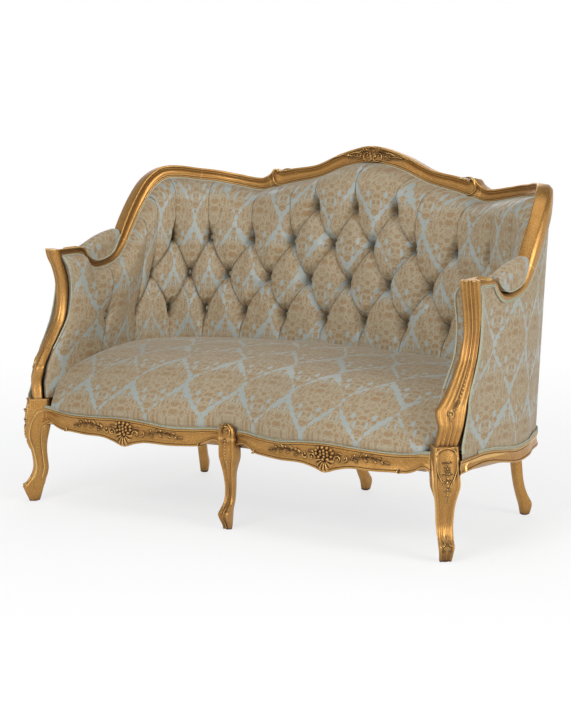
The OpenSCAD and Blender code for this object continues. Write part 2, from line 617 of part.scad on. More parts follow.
module webbing_cross() {
    first = front_y + 98;
    last = back_y - 284;
    color("#7a6544") for (i = [0:cross_strap_count - 1]) {
        y = lerp(first, last, i / (cross_strap_count - 1));
        half = min(side_line_x(y - strap_w / 2), side_line_x(y + strap_w / 2)) - seat_rail_t / 2 + lap;
        translate([-half, y - strap_w / 2, ledge_z + strap_t + gap * 2 / 3]) cube([half * 2, strap_w, strap_t]);
    }
}

// Pitches of the button columns by run
RUNS = [for (i = [0:15]) [run_of(i / 2), i / 2]];
function pitches_at(s) = smooth(RUNS, abs(s))[1];

// Depth of the pleats: pits at the buttons, diamond pleats between them and straight pleats beyond
function puff(s, z) =
    let(u = pitches_at(s), v = (z - button_z) / row_pitch,
        rows = abs(u) < 1.5 ? 3 : abs(u) < 4.8 ? 2 : abs(u) < 5.4 ? 1 : 0, c = min(rows, max(0, v)),
        p = 180 * (u - (c + 1) / 2), r = 180 * (u + (c + 1) / 2),
        inside = v >= 0 && v <= rows,
        pleat = pow(abs(sin(p) * sin(r)), 0.5),
        pit = 1 - abs(cos(p) * cos(r)))
    inside ? 0.45 * pit + 0.55 * pleat : lerp(abs(sin(p)) ^ 0.7, 1, clamp01(abs(v - c) * 0.6));

// Thickness of the inside upholstery, proud of the frame line
seat_edge_z = seat_z - 12;
function pad_q(s, z, tuft = 1) =
    let(a = abs(s),
        full = lerp(back_puff + 8 * ease(a / 250), arm_puff, ease((a - 560) / 270)) - 26 * ease((a - 1050) / 240),
        flush = rail_t / 2 - 3,
        deep = tuft * tuft_depth * (1 - ease((a - 900) / 110)),
        fall = edge_at(a)[2] - z)
    lerp(flush, full - deep * (1 - puff(s, z)), sqrt(clamp01(fall / 62)));

// Point of the upholstery's face: upright below the seat's edge, and drawn forward to the arm post
function forward(a, p, z) =
    let(low = clamp01((a - 1060) / (rail_end - 1060)) ^ 1.5,
        top = clamp01((a - 1215) / (rail_end - 1215)),
        share = clamp01((z - base_z) / (edge_at(a)[2] - base_z)),
        k = lerp(low, top, share ^ 3))
    [p[0], lerp(p[1], max(post_back_y(p[0], z) + (z < seat_edge_z ? 12 : 4.2), p[1] - 100), k), z];
function handed(s, p) = [s < 0 ? -p[0] : p[0], p[1], p[2]];
function pad_face(s, z, tuft = 1, clear = 0) =
    let(a = abs(s), zz = max(z, seat_edge_z))
    handed(s, forward(a, skin(a, zz, pad_q(a, zz, tuft) + clear), z));
// Point at a fixed distance from the frame line, drawn forward to the arm post in the same way
function cover_point(s, z, q) = let(a = abs(s)) handed(s, forward(a, skin(a, z, q), z));

pad_low = leg_top + 2;
split_run = run_of(4.75);
back_line = [for (s = LINE) if (s > 0 && s < split_run + 1) s];
low_rows = concat([pad_low, seat_edge_z, 500], [for (i = [0:12]) button_z + row_pitch * i / 4]);

module inside_back() {
    columns = concat(mirrored(back_line), [0], back_line);
    last_row = low_rows[len(low_rows) - 1];
    function heights(s) = concat(low_rows, [for (k = [0.34, 0.67, 1]) lerp(last_row, edge_at(abs(s))[2], k)]);
    face = [for (s = columns) [for (z = heights(s)) pad_face(s, z)]];
    back = [for (s = columns) [for (z = [pad_low, edge_at(abs(s))[2]]) cover_point(s, z, cover_q)]];
    ends = [for (s = [-split_run, split_run]) [for (z = heights(s)) cover_point(s, z, cover_q)]];
    color(damask) quilt(face, back, ends);
}

arm_columns = stations(split_run + 0.6, rail_end, COVER_LINE);
module inside_arm(hand) {
    rows = [pad_low, seat_edge_z, 500, button_z, button_z + row_pitch / 2, button_z + row_pitch];
    function heights(s) = concat(rows, [for (k = [1:4]) lerp(rows[5], edge_at(s)[2], k / 4)]);
    color(damask) side(hand) slab(
        [for (s = arm_columns) [for (z = heights(s)) pad_face(s, z)]],
        [for (s = arm_columns) [for (z = heights(s)) cover_point(s, z, cover_q)]]
    );
}

// Covered buttons, each in its pit: [run, height]
BUTTONS = concat(
    [for (i = [-1:1]) [run_of(i), button_z + 3 * row_pitch]],
    [for (i = [-5:4]) [run_of(i + 0.5), button_z + 2 * row_pitch]],
    [for (i = [-5:5]) [run_of(i), button_z + row_pitch]],
    [for (i = [-7:6]) [run_of(i + 0.5), button_z]]
);
// How far a button stands off the cover's plain facets: most in the bend behind the arm
function button_lift(a) = a == run_of(5) ? 5.6 : a == run_of(6.5) ? 1.9 : 2.8;
module back_buttons() {
    r = button_d / 2;
    color(damask) for (b = BUTTONS) {
        a = abs(b[0]);
        p = pad_face(a, b[1]);
        along = pad_face(a + 6, b[1], 0) - pad_face(a - 6, b[1], 0);
        up = pad_face(a, b[1] + 6, 0) - pad_face(a, b[1] - 6, 0);
        n = unit(cross(along, up));
        side(b[0] < 0 ? -1 : 1)
            translate(p + button_lift(a) * n) rotate([0, acos(n[2]), atan2(n[1], n[0])])
                loft([for (c = [[-1.6, 1.2], [3.6, r], [7.2, r * 0.5]])
                    [for (k = [0:7]) [c[1] * cos(45 * k), c[1] * sin(45 * k), c[0]]]]);
    }
}

// Front edge, side edges and back edge of the seat, anticlockwise from the left front corner.
// A front point is [x, 0] and any other is [run, 1].
seat_x = foot_x - 69;
seat_runs = [
    1245, 1210, 1160, 1110, 1060, 1010, 955, 905, 870, 835, 800, 770, 740, 710, 680, 650, 620, 590, 560,
    520, 460, 390, 320, 255, 190, 125, 60,
];
seat_rim = concat(
    [for (x = concat(steps(-seat_x, -60, 9), [-34, 0, 34], steps(60, seat_x, 9))) [x, 0]],
    [for (s = seat_runs) [s, 1]],
    [[0, 1]],
    [for (i = [len(seat_runs) - 1:-1:0]) [-seat_runs[i], 1]]
);
// Rise of the seat behind its front edge: [distance back, height below the crown]
SEAT_RISE = [
    [0, -170], [8, -140], [30, -108], [70, -72], [135, -38], [235, -15], [400, 0], [560, -4], [700, -8],
];
function seat_top(x, y) = seat_z + smooth(SEAT_RISE, max(0, y - front_face_y(x)))[1] - seat_fall * (x / 680) ^ 2;
function lip_top(x) = smooth([for (k = FRONT_RAIL) [k[0], k[3]]], max(abs(x), FRONT_RAIL[0][0]))[1];
function rim_point(k, ahead, z) =
    k[1] == 0 ? [k[0], front_face_y(k[0]) + ahead, z] : pad_face(k[0], max(z, pad_low), 0, 1.5);

module seat() {
    inside_lip = 12 + 1.2;
    under = ledge_z + 2 * strap_t + 3.2;
    crown = concat(
        [for (k = [0.02, 0.06, 0.14, 0.28, 0.5, 0.75]) [k, 0]],
        [[0.93, 1]]
    );
    function toward(p, k, z) = [lerp(p[0], p[0] * 0.5, k), lerp(p[1], -60, k), z];
    // The front rolls over the lip, except behind the centre leg's crest
    function ahead(k, d) = abs(k[0]) < 40 ? inside_lip : d;
    function edge_z(k) = let(p = rim_point(k, 3, 400)) seat_top(p[0], p[1]) - 9;
    color(damask) loft(concat(
        [[for (k = seat_rim) toward(rim_point(k, inside_lip, 0), 0.015, under)]],
        [[for (k = seat_rim) let(p = rim_point(k, inside_lip, 0)) [p[0], p[1], under + 5]]],
        [[for (k = seat_rim) let(z = k[1] == 0 ? lip_top(k[0]) + 1 : 300, p = rim_point(k, inside_lip, z)) [p[0], p[1], z]]],
        [[for (k = seat_rim)
            let(z = k[1] == 0 ? lip_top(k[0]) + 5 : lerp(300, edge_z(k), 0.5), p = rim_point(k, ahead(k, 5), z))
            [p[0], p[1], z]]],
        [[for (k = seat_rim)
            let(z = k[1] == 0 ? lip_top(k[0]) + 18 : edge_z(k), p = rim_point(k, ahead(k, 1), z)) [p[0], p[1], z]]],
        [for (c = crown) [for (k = seat_rim)
            let(p = toward(rim_point(k, 1, 430), c[0], 0))
            [p[0], p[1], c[1] == 1 ? seat_z - 3 : seat_top(p[0], p[1]) + (k[1] == 0 ? 10 * (1 - c[0]) ^ 12 : 0)]]]
    ));
}

// Padded rest that fills the scoop of the arm rail
arm_stations = stations(arm_start + gap, 1212);
function on_rail(s) = top_at(s) + (wrap(s)[5] / 2 + gap) * rail_up(s);
module arm_pad(hand) {
    rear = on_rail(arm_stations[0]);
    front = on_rail(1212);
    color(damask) side(hand) loft([
        for (s = arm_stations)
            let(b = on_rail(s), t = (rear[1] - b[1]) / (rear[1] - front[1]),
                top = lerp(rear[2] + 20, front[2] + 10, t) + 6 * sin(180 * t), w = rail_t / 2 - 1 + 4 * sin(180 * t))
            [for (c = [[-0.8, 0], [-1, 0.12], [-1.04, 0.45], [-0.9, 0.75], [-0.55, 0.94], [0, 1],
                    [0.55, 0.94], [0.9, 0.75], [1.04, 0.45], [1, 0.12], [0.8, 0]])
                [b[0] + c[0] * w, b[1], lerp(b[2], top, c[1])]]
    ]);
}

// Stretched outside covers
module outside_back() {
    columns = concat(mirrored(back_line), [0], back_line);
    function heights(s) = concat([ledge_z + gap, tack_top, 640], [edge_at(abs(s))[2]]);
    color(damask) slab(
        [for (s = columns) [for (z = heights(s)) cover_point(s, z, -cover_q)]],
        [for (s = columns) [for (z = heights(s)) cover_point(s, z, -cover_q - cover_t)]]
    );
}

module outside_arm(hand) {
    shares = [0, 0.14, 0.27, 0.4, 0.51, 0.63, 0.75, 0.87, 1];
    function heights(s) = [for (k = shares) lerp(ledge_z + gap, edge_at(s)[2], k)];
    color(damask) side(hand) slab(
        [for (s = arm_columns) [for (z = heights(s)) cover_point(s, z, -cover_q)]],
        [for (s = arm_columns) [for (z = heights(s)) cover_point(s, z, -cover_q - cover_t)]]
    );
}

// Outline inside the seat frame, at a distance behind the front rails' face and inside the frame line
function frame_outline(behind, inside, x_end) = concat(
    [for (x = steps(-x_end, x_end, 24)) [x, front_face_y(x) + behind]],
    [for (s = seat_runs) let(p = skin(s, base_z, inside)) [p[0], p[1]]],
    [[0, skin(0, base_z, inside)[1]]],
    [for (i = [len(seat_runs) - 1:-1:0]) let(p = skin(seat_runs[i], base_z, inside)) [-p[0], p[1]]]
);

module seat_hessian() {
    color("#a58d62") translate([0, 0, ledge_z + 2 * strap_t + 1])
        linear_extrude(1.5) polygon(frame_outline(12 + 1.6, frame_t / 2 + 2, seat_x));
}

module dust_cover() {
    color("#33302c") difference() {
        translate([0, 0, rail_foot_z - 1.5])
            linear_extrude(1.2) polygon(frame_outline(seat_rail_t - 8, seat_rail_t / 2 - 12, seat_x - 8));
        for (s = [-rear_leg_run, 0, rear_leg_run]) {
            p = handed(s, mid_at(abs(s), base_z));
            translate([p[0], p[1], rail_foot_z - 3]) rotate([0, 0, s < 0 ? -wrap(-s)[4] : wrap(s)[4]])
                translate([-rear_leg_w / 2 - 1, -rear_leg_w / 2 - 1, 0]) cube([rear_leg_w + 2, rear_leg_w + 2, 6]);
        }
    }
}

module foot_glides() {
    out = CORNER_LEG[0][1] * facing(45);
    rear = mid_at(rear_leg_run, base_z) + splay_at(rear_leg_run);
    middle = mid_at(0, base_z) + splay_at(0);
    feet = [
        [foot_x + out[0], front_y + out[1]], [-foot_x - out[0], front_y + out[1]], [0, centre_y],
        [rear[0], rear[1]], [-rear[0], rear[1]], [0, middle[1]],
    ];
    color("#8a8478") for (f = feet) translate([f[0], f[1], 0]) cylinder(d = glide_d, h = glide_h, $fn = 24);
}

crest_rail_centre();
top_rail(-1);  // top_rail_left
top_rail(1);  // top_rail_right
corner_rail(-1);  // corner_rail_left
corner_rail(1);  // corner_rail_right
arm_rail(-1);  // arm_rail_left
arm_rail(1);  // arm_rail_right
arm_post(-1);  // arm_post_left
arm_post(1);  // arm_post_right
front_leg(-1);  // front_leg_left
front_leg_centre();
front_leg(1);  // front_leg_right
rear_leg(-1);  // rear_leg_left
rear_leg_centre();
rear_leg(1);  // rear_leg_right
front_rail(-1);  // front_rail_left
front_rail(1);  // front_rail_right
side_rail(-1);  // side_rail_left
side_rail(1);  // side_rail_right
back_rail(-1);  // back_rail_left
back_rail(1);  // back_rail_right
cross_rail();
front_corner_blocks();
rear_corner_blocks();
back_tack_boards();
arm_tack_boards();
webbing_long();
webbing_cross();
seat_hessian();
dust_cover();
seat();
inside_back();
inside_arm(-1);  // inside_arm_left
inside_arm(1);  // inside_arm_right
back_buttons();
arm_pad(-1);  // arm_pad_left
arm_pad(1);  // arm_pad_right
outside_back();
outside_arm(-1);  // outside_arm_left
outside_arm(1);  // outside_arm_right
foot_glides();
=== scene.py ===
"""Cabriole sofa: carved gilt show-wood, buttoned damask and hidden frame, dressed round a fixed model."""

import json
import math

import bmesh
import bpy
import numpy as np
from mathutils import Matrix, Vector
from mathutils.bvhtree import BVHTree

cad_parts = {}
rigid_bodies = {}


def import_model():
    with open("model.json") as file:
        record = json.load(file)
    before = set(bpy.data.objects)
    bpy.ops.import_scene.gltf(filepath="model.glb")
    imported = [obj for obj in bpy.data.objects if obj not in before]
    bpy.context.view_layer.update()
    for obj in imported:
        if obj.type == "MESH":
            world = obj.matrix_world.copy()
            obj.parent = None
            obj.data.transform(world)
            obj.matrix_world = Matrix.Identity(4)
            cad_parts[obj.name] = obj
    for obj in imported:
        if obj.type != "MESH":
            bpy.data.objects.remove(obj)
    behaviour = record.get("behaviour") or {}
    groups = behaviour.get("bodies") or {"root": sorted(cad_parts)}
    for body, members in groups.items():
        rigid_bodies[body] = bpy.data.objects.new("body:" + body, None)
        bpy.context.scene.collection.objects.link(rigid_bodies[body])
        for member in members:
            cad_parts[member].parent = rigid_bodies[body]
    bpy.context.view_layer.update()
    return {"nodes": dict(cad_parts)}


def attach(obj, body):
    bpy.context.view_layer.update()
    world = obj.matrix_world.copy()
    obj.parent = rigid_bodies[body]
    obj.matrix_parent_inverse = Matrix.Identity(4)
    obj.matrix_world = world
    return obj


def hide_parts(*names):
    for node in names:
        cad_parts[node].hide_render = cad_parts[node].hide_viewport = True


bl_info = {
    "name": "Cabriole sofa",
    "version": (1, 0),
    "blender": (4, 5, 0),
    "location": "3D View > Sidebar > Sofa",
    "description": "Builds the visible pieces of a carved and gilded cabriole sofa round its fixed frame",
    "category": "Object",
}

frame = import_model()
NODES = frame["nodes"]
BODY = "root"
# The shapes below are in millimetres, as the frame was drawn, and the meshes in metres
MM = 0.001

# The frame's own sizes
ARM_X, FOOT_X, FRONT_Y, BACK_Y = 720, 717, -372, 390
CREST_Z, SHOULDER_Z, ARM_Z, SCOOP_Z = 1018, 950, 735, 687
RAIL_T, RAIL_H, ARM_RAIL_H, COVE = 46, 38, 22, 5
POST_T, POST_W, BLOCK_W, CENTRE_BLOCK_W, LEG_TOP = 28, 48, 70, 54, 310
LEDGE_Z, SEAT_RAIL_FOOT_Z, SEAT_RAIL_T, SHELL_DROP = 262, 232, 44, 18
REAR_LEG_RUN, REAR_LEG_W, RAIL_END, GAP = 572, 38, 1290, 0.3
SEAT_Z, SEAT_FALL, PITCH, BUTTON_Z, ROW = 470, 30, 150, 534, 109
# Runs where the small scrolls of the crest, the arm pads and the moulded part of the arm rails end
SCROLL_RUN, PAD_END, ARM_RAIL_END = 352, 1212, 1262
# Distance of the tacked covers from the frame line, and height of the puffs over the full pad
COVER_Q, SWELL = 13.0, 6
HANDS = (("right", 1), ("left", -1))


def lerp(a, b, t):
    return a + (b - a) * t


def ease(t):
    c = np.clip(t, 0, 1)
    return c * c * (3 - 2 * c)


def smooth(table, t):
    """Smooth curve through a table's rows, whose first value is the station."""
    rows = np.asarray(table, float)
    n = len(rows)
    before, after = np.maximum(np.arange(n) - 1, 0), np.minimum(np.arange(n) + 1, n - 1)
    slope = (rows[after] - rows[before]) / (rows[after, 0] - rows[before, 0])[:, None]
    t = np.asarray(t, float)
    i = np.clip(np.searchsorted(rows[:, 0], t, "right") - 1, 0, n - 2)
    w = (rows[i + 1, 0] - rows[i, 0])[..., None]
    x = (t - rows[i, 0])[..., None] / w
    return (
        (2 * x**3 - 3 * x**2 + 1) * rows[i]
        + (x**3 - 2 * x**2 + x) * w * slope[i]
        + (3 * x**2 - 2 * x**3) * rows[i + 1]
        + (x**3 - x**2) * w * slope[i + 1]
    )


def unit(v):
    return v / np.linalg.norm(v, axis=-1, keepdims=True)


def facing(turn):
    a = np.radians(turn)
    return np.stack([np.sin(a), -np.cos(a), np.zeros_like(a)], -1)


# Run of a button column beyond an even spacing, by pitches from the middle
STRETCH = [
    [0, 0], [2, 0], [2.5, 4], [3, 11], [3.5, 18], [4, 25], [4.5, 33], [5, 50], [5.5, 52], [6.5, 125],
    [7.5, 165],
]


def run_of(pitches):
    a = abs(pitches)
    return math.copysign(a * PITCH + smooth(STRETCH, a)[1], pitches)


def fall(share):
    return SHOULDER_Z + (ARM_Z - SHOULDER_Z) * share


# The line of the frame from the middle of the back to the arm post:
# [run, top x, top y, top z, face turn, rail height, base x, base y]
WRAP = [
    [-100, -100, BACK_Y - 1, CREST_Z - 17, 1, RAIL_H + 6, -98, BACK_Y - 138],
    [0, 0, BACK_Y, CREST_Z, 0, RAIL_H + 8, 0, BACK_Y - 138],
    [100, 100, BACK_Y - 1, CREST_Z - 17, -1, RAIL_H + 6, 98, BACK_Y - 138],
    [200, 201, BACK_Y - 2, SHOULDER_Z + 12, -2, RAIL_H + 3, 196, BACK_Y - 139],
    [300, 300, BACK_Y - 5, SHOULDER_Z - 7, -3, RAIL_H + 7, 294, BACK_Y - 140],
    [370, 370, BACK_Y - 9, SHOULDER_Z - 25, -5, RAIL_H + 5, 364, BACK_Y - 141],
    [410, 408, BACK_Y - 13, SHOULDER_Z - 35, -8, RAIL_H, 402, BACK_Y - 142],
    [500, ARM_X - 222, BACK_Y - 36, SHOULDER_Z - 22, -16, RAIL_H - 2, ARM_X - 230, BACK_Y - 144],
    [560, ARM_X - 167, BACK_Y - 64, SHOULDER_Z - 12, -24, RAIL_H - 2, ARM_X - 170, BACK_Y - 150],
    [620, ARM_X - 117, BACK_Y - 100, SHOULDER_Z - 6, -36, RAIL_H - 1, ARM_X - 114, BACK_Y - 169],
    [680, ARM_X - 72, BACK_Y - 141, SHOULDER_Z + 1, -50, RAIL_H, ARM_X - 66, BACK_Y - 208],
    [735, ARM_X - 37, BACK_Y - 187, SHOULDER_Z - 2, -66, RAIL_H + 2, ARM_X - 34, BACK_Y - 258],
    [785, ARM_X - 16, BACK_Y - 232, fall(0.144), -80, RAIL_H + 4, ARM_X - 12, BACK_Y - 320],
    [850, ARM_X - 6, BACK_Y - 274, fall(0.372), -87, RAIL_H + 6, ARM_X + 10, BACK_Y - 374],
    [930, ARM_X - 2, FRONT_Y + 443, fall(0.665), -90, RAIL_H + 6, ARM_X + 20, FRONT_Y + 328],
    [1010, ARM_X - 1, FRONT_Y + 397, fall(0.986), -90, RAIL_H, ARM_X + 24, FRONT_Y + 283],
    [1060, ARM_X, FRONT_Y + 362, ARM_Z - 31, -90, ARM_RAIL_H + 6, ARM_X + 25, FRONT_Y + 250],
    [1130, ARM_X, FRONT_Y + 298, SCOOP_Z, -90, ARM_RAIL_H, ARM_X + 24, FRONT_Y + 193],
    [1165, ARM_X, FRONT_Y + 260, SCOOP_Z + 3, -90, ARM_RAIL_H, ARM_X + 22, FRONT_Y + 163],
    [1195, ARM_X, FRONT_Y + 232, SCOOP_Z + 23, -90, ARM_RAIL_H - 2, ARM_X + 21, FRONT_Y + 140],
    [1215, ARM_X, FRONT_Y + 221, ARM_Z - 8, -90, ARM_RAIL_H - 2, ARM_X + 20, FRONT_Y + 123],
    [1235, ARM_X, FRONT_Y + 205, ARM_Z, -90, ARM_RAIL_H - 2, ARM_X + 20, FRONT_Y + 106],
    [1290, ARM_X + 1, FRONT_Y + 150, ARM_Z, -90, ARM_RAIL_H - 2, ARM_X + 20, FRONT_Y + 68],
]
CREST_HALF = run_of(2.5)
LEG_HALF = REAR_LEG_W / 2 + GAP
CORNER_START = REAR_LEG_RUN + LEG_HALF + 16
ARM_START = 990


def wrap(s):
    return smooth(WRAP, np.abs(s))


def mirror_x(s, points):
    """Turns points of the right half over to the left where the run is negative."""
    sign = np.where(np.asarray(s) < 0, -1.0, 1.0)[..., None]
    return np.concatenate([points[..., :1] * sign, points[..., 1:]], -1)


def top_at(a):
    return wrap(a)[..., 1:4]


def rail_up(a):
    a = np.maximum(np.asarray(a, float), 2.5)
    along = unit(top_at(a + 2) - top_at(a - 2))
    return unit(np.cross(facing(wrap(a)[..., 4]), along))


def edge_at(a):
    return top_at(a) - (wrap(a)[..., 5:6] / 2 + GAP) * rail_up(a)


def mid_at(a, z):
    w, e = wrap(a), edge_at(a)
    k = (z - LEDGE_Z) / (e[..., 2] - LEDGE_Z)
    return np.stack([lerp(w[..., 6], e[..., 0], k), lerp(w[..., 7], e[..., 1], k), z + 0 * k], -1)


def skin(a, z, q):
    """Point proud of the frame's middle plane by q, at a run and a height."""
    return mid_at(a, z) + np.asarray(q)[..., None] * facing(wrap(a)[..., 4])


# Arm post: [height, x, y, width, turn]
POST = [
    [LEG_TOP + GAP, ARM_X - 8, FRONT_Y + 11, BLOCK_W - 10, 45],
    [330, ARM_X - 4, FRONT_Y + 14, BLOCK_W - 8, 45],
    [360, ARM_X + 1, FRONT_Y + 18, BLOCK_W - 5, 45],
    [385, ARM_X - 2, FRONT_Y + 21, BLOCK_W + 7, 45],
    [405, ARM_X - 3, FRONT_Y + 26, BLOCK_W + 10, 44],
    [420, ARM_X - 2, FRONT_Y + 35, BLOCK_W + 2, 43],
    [450, ARM_X - 2, FRONT_Y + 59, BLOCK_W - 8, 41],
    [490, ARM_X - 4, FRONT_Y + 89, POST_W + 8, 38],
    [540, ARM_X - 6, FRONT_Y + 121, POST_W + 1, 34],
    [600, ARM_X - 5, FRONT_Y + 135, POST_W - 1, 31],
    [650, ARM_X - 4, FRONT_Y + 133, POST_W + 1, 28],
    [690, ARM_X - 1, FRONT_Y + 123, POST_W + 3, 26],
    [720, ARM_X + 4, FRONT_Y + 110, POST_W + 4, 25],
    [ARM_Z + 10, ARM_X + 6, FRONT_Y + 104, POST_W + 3, 25],
]
# Corner leg: [height, offset along the diagonal, width, thickness]
CORNER_LEG = [
    [2, 1, 34, 32], [10, 1, 37, 38], [30, 3, 41, 53], [44, 3, 44, 61], [54, -3, 44, 56],
    [66, -9, 43, 50], [82, -16, 43, 47], [102, -20, 44, 45], [134, -17, 47, 45], [160, -13, 53, 50],
    [184, -9, 62, 60], [204, -8, BLOCK_W, 68], [232, -12, BLOCK_W, 72], [272, -14, BLOCK_W, 68],
    [LEG_TOP, -15, BLOCK_W - 4, 62],
]
# Centre leg: [height, offset forward, width, thickness]
CENTRE_LEG = [
    [2, 0, 26, 28], [12, 0, 28, 32], [34, 6, 34, 44], [47, 8, 36, 49], [58, 2, 34, 42],
    [78, -10, 32, 34], [108, -16, 32, 32], [150, -14, 36, 36], [184, -10, 45, 42],
    [208, -8, CENTRE_BLOCK_W, 46], [240, -7, CENTRE_BLOCK_W, 46], [LEDGE_Z, -7, CENTRE_BLOCK_W, 46],
    [LEDGE_Z + 1, 4, CENTRE_BLOCK_W, 24], [276, 4, CENTRE_BLOCK_W, 24],
    [292, 5, CENTRE_BLOCK_W - 10, 22], [302, 6, CENTRE_BLOCK_W - 28, 19],
]
CENTRE_Y = FRONT_Y + 3
CORNER = (FOOT_X - 9, FRONT_Y + 9)
BAY_MID = (CENTRE_BLOCK_W / 2 + FOOT_X - 44) / 2
RAIL_FROM = CENTRE_BLOCK_W / 2 + GAP
RAIL_TO = CORNER[0] + CORNER[1] - FRONT_Y + 8 - (BLOCK_W / 2 + GAP) * math.sqrt(2)
# Front rail of one bay: [x, face y, lower edge, upper edge, turn of the end cut]
FRONT_RAIL = [
    [RAIL_FROM, FRONT_Y, 242, 279, 0],
    [50, FRONT_Y - 2, 248, 281, 0],
    [75, FRONT_Y - 6, 240, 280, 0],
    [98, FRONT_Y - 10, 229, 277, 0],
    [120, FRONT_Y - 14, 226, 275, 0],
    [195, FRONT_Y - 25, 222, 273, 0],
    [BAY_MID - 80, FRONT_Y - 33, 223, 281, 0],
    [BAY_MID - 35, FRONT_Y - 35, 224 - SHELL_DROP / 2, 284, 0],
    [BAY_MID, FRONT_Y - 36, 223 - SHELL_DROP, 285, 0],
    [BAY_MID + 35, FRONT_Y - 35, 224 - SHELL_DROP / 2, 284, 0],
    [BAY_MID + 80, FRONT_Y - 32, 224, 281, 0],
    [FOOT_X - 217, FRONT_Y - 25, 223, 277, 0],
    [FOOT_X - 157, FRONT_Y - 18, 225, 275, 0],
    [FOOT_X - 117, FRONT_Y - 13, 226, 277, 2],
    [FOOT_X - 89, FRONT_Y - 10, 234, 280, 16],
    [FOOT_X - 65, FRONT_Y - 8, 245, 283, 32],
    [RAIL_TO, FRONT_Y - 8, 236, 284, 45],
]
# Side rail edges by run: [run, lower edge, upper edge]
SIDE_RAIL = [
    [600, 236, 278], [700, 236, 278], [785, 236, 276], [850, 232, 272], [930, 227, 267],
    [1010, 229, 267], [1090, 238, 274], [1165, 247, 280], [1250, 247, 280], [1300, 237, 274],
]
# Rise of the seat behind its front edge: [distance back, height below the crown]
SEAT_RISE = [
    [0, -170], [8, -140], [30, -108], [70, -72], [135, -38], [235, -15], [400, 0], [560, -4], [700, -8],
]


def post_back_y(x, z):
    """How far forward a piece may reach before it meets the arm post, or the leg under it."""
    p = smooth(POST, np.maximum(z, POST[0][0]))
    turn = np.radians(p[..., 4])
    back = p[..., 2] + ((x - p[..., 1]) * np.sin(turn) + POST_T / 2 + GAP) / np.cos(turn)
    flank = p[..., 2] + (p[..., 3] / 2 + GAP - (x - p[..., 1]) * np.cos(turn)) / np.sin(turn)
    leg = CORNER[0] + CORNER[1] + (BLOCK_W / 2 + GAP) * math.sqrt(2) - x
    y = np.minimum(back, flank)
    return np.where(z < LEG_TOP + 1, np.maximum(y, leg), y)


def front_face_y(x):
    return smooth(FRONT_RAIL, np.maximum(np.abs(x), RAIL_FROM))[..., 1]


def lip_top(x):
    return smooth(FRONT_RAIL, np.maximum(np.abs(x), RAIL_FROM))[..., 3]


class SofaCloth(bpy.types.PropertyGroup):
    """Sizes and colours of the upholstery."""

    tuft_depth: bpy.props.FloatProperty(
        name="Tuft depth", description="Depth of a button under the crowns beside it",
        default=0.044, unit="LENGTH",
    )
    puff_cap: bpy.props.FloatProperty(
        name="Puff", description="Most that the stuffing may swell the back's cover",
        default=0.007, unit="LENGTH",
    )
    button_d: bpy.props.FloatProperty(
        name="Button", description="Diameter of a covered button", default=0.018, unit="LENGTH"
    )
    cord_d: bpy.props.FloatProperty(
        name="Piping", description="Diameter of one cord of the double piping", default=0.0052, unit="LENGTH"
    )
    motif_w: bpy.props.FloatProperty(
        name="Motif width", description="Width of one repeat of the damask", default=0.180, unit="LENGTH"
    )
    motif_h: bpy.props.FloatProperty(
        name="Motif height", description="Height from one row of figures to the next",
        default=0.138, unit="LENGTH",
    )
    ground: bpy.props.FloatVectorProperty(
        name="Ground", description="Sateen ground of the damask",
        subtype="COLOR", default=(0.335, 0.360, 0.335),
    )
    figure: bpy.props.FloatVectorProperty(
        name="Figure", description="Woven figure of the damask",
        subtype="COLOR", default=(0.300, 0.204, 0.108),
    )


class SofaWood(bpy.types.PropertyGroup):
    """Sizes and colours of the gilded wood."""

    leaf_relief: bpy.props.FloatProperty(
        name="Relief", description="Height of the carved leaves above the wood", default=0.006, unit="LENGTH"
    )
    gold: bpy.props.FloatVectorProperty(
        name="Gold", description="Gold paint on the open faces", subtype="COLOR", default=(0.43, 0.215, 0.055)
    )
    # Painted shade: this colour darkens the recesses and the places where parts meet, as well as standing for
    # a real brown glaze in the hollows
    glaze_and_shade: bpy.props.FloatVectorProperty(
        name="Glaze", description="Brown glaze in the recesses", subtype="COLOR", default=(0.06, 0.022, 0.006)
    )


class SofaView(bpy.types.PropertyGroup):
    """Place of the camera."""

    azimuth: bpy.props.FloatProperty(
        name="Azimuth", description="Turn of the camera round the sofa",
        default=math.radians(35.177), subtype="ANGLE",
    )
    elevation: bpy.props.FloatProperty(
        name="Elevation", description="Angle that the camera looks down",
        default=math.radians(8.018), subtype="ANGLE",
    )
    distance: bpy.props.FloatProperty(
        name="Distance", description="From the camera to its target", default=7.4007, unit="LENGTH"
    )
    target: bpy.props.FloatVectorProperty(
        name="Target", description="Point that the camera looks at",
        subtype="XYZ", default=(-0.013, -0.0723, 0.4655),
    )


def settings(group):
    return getattr(bpy.context.scene, "sofa_" + group)


def linear(text):
    """Linear colour of an sRGB hex value."""
    values = [int(text[i : i + 2], 16) / 255 for i in (1, 3, 5)]
    return [v / 12.92 if v <= 0.04045 else ((v + 0.055) / 1.055) ** 2.4 for v in values] + [1]


def add(tree, kind, inputs=(), **choices):
    """Adds a node with its settings. An input is a value, a socket, or a node whose first output it takes."""
    node = tree.nodes.new(kind)
    for key, value in choices.items():
        setattr(node, key, value)
    for key, value in inputs.items() if isinstance(inputs, dict) else enumerate(inputs):
        if isinstance(value, bpy.types.Node):
            value = value.outputs[0]
        if isinstance(value, bpy.types.NodeSocket):
            tree.links.new(value, node.inputs[key])
        elif value is not None:
            node.inputs[key].default_value = value
    return node


def calc(tree, operation, *values, **choices):
    """Adds a Math node on values or sockets."""
    return add(tree, "ShaderNodeMath", values, operation=operation, **choices)


MIX, RANGE = ("ShaderNodeMixRGB", "ShaderNodeMapRange")


def new_material(name):
    """An empty material and its node tree, with the output that a shader goes to."""
    material = bpy.data.materials.get(name)
    if material:
        return material, None
    material = bpy.data.materials.new(name)
    material.use_nodes = True
    material.node_tree.nodes.clear()
    return material, material.node_tree


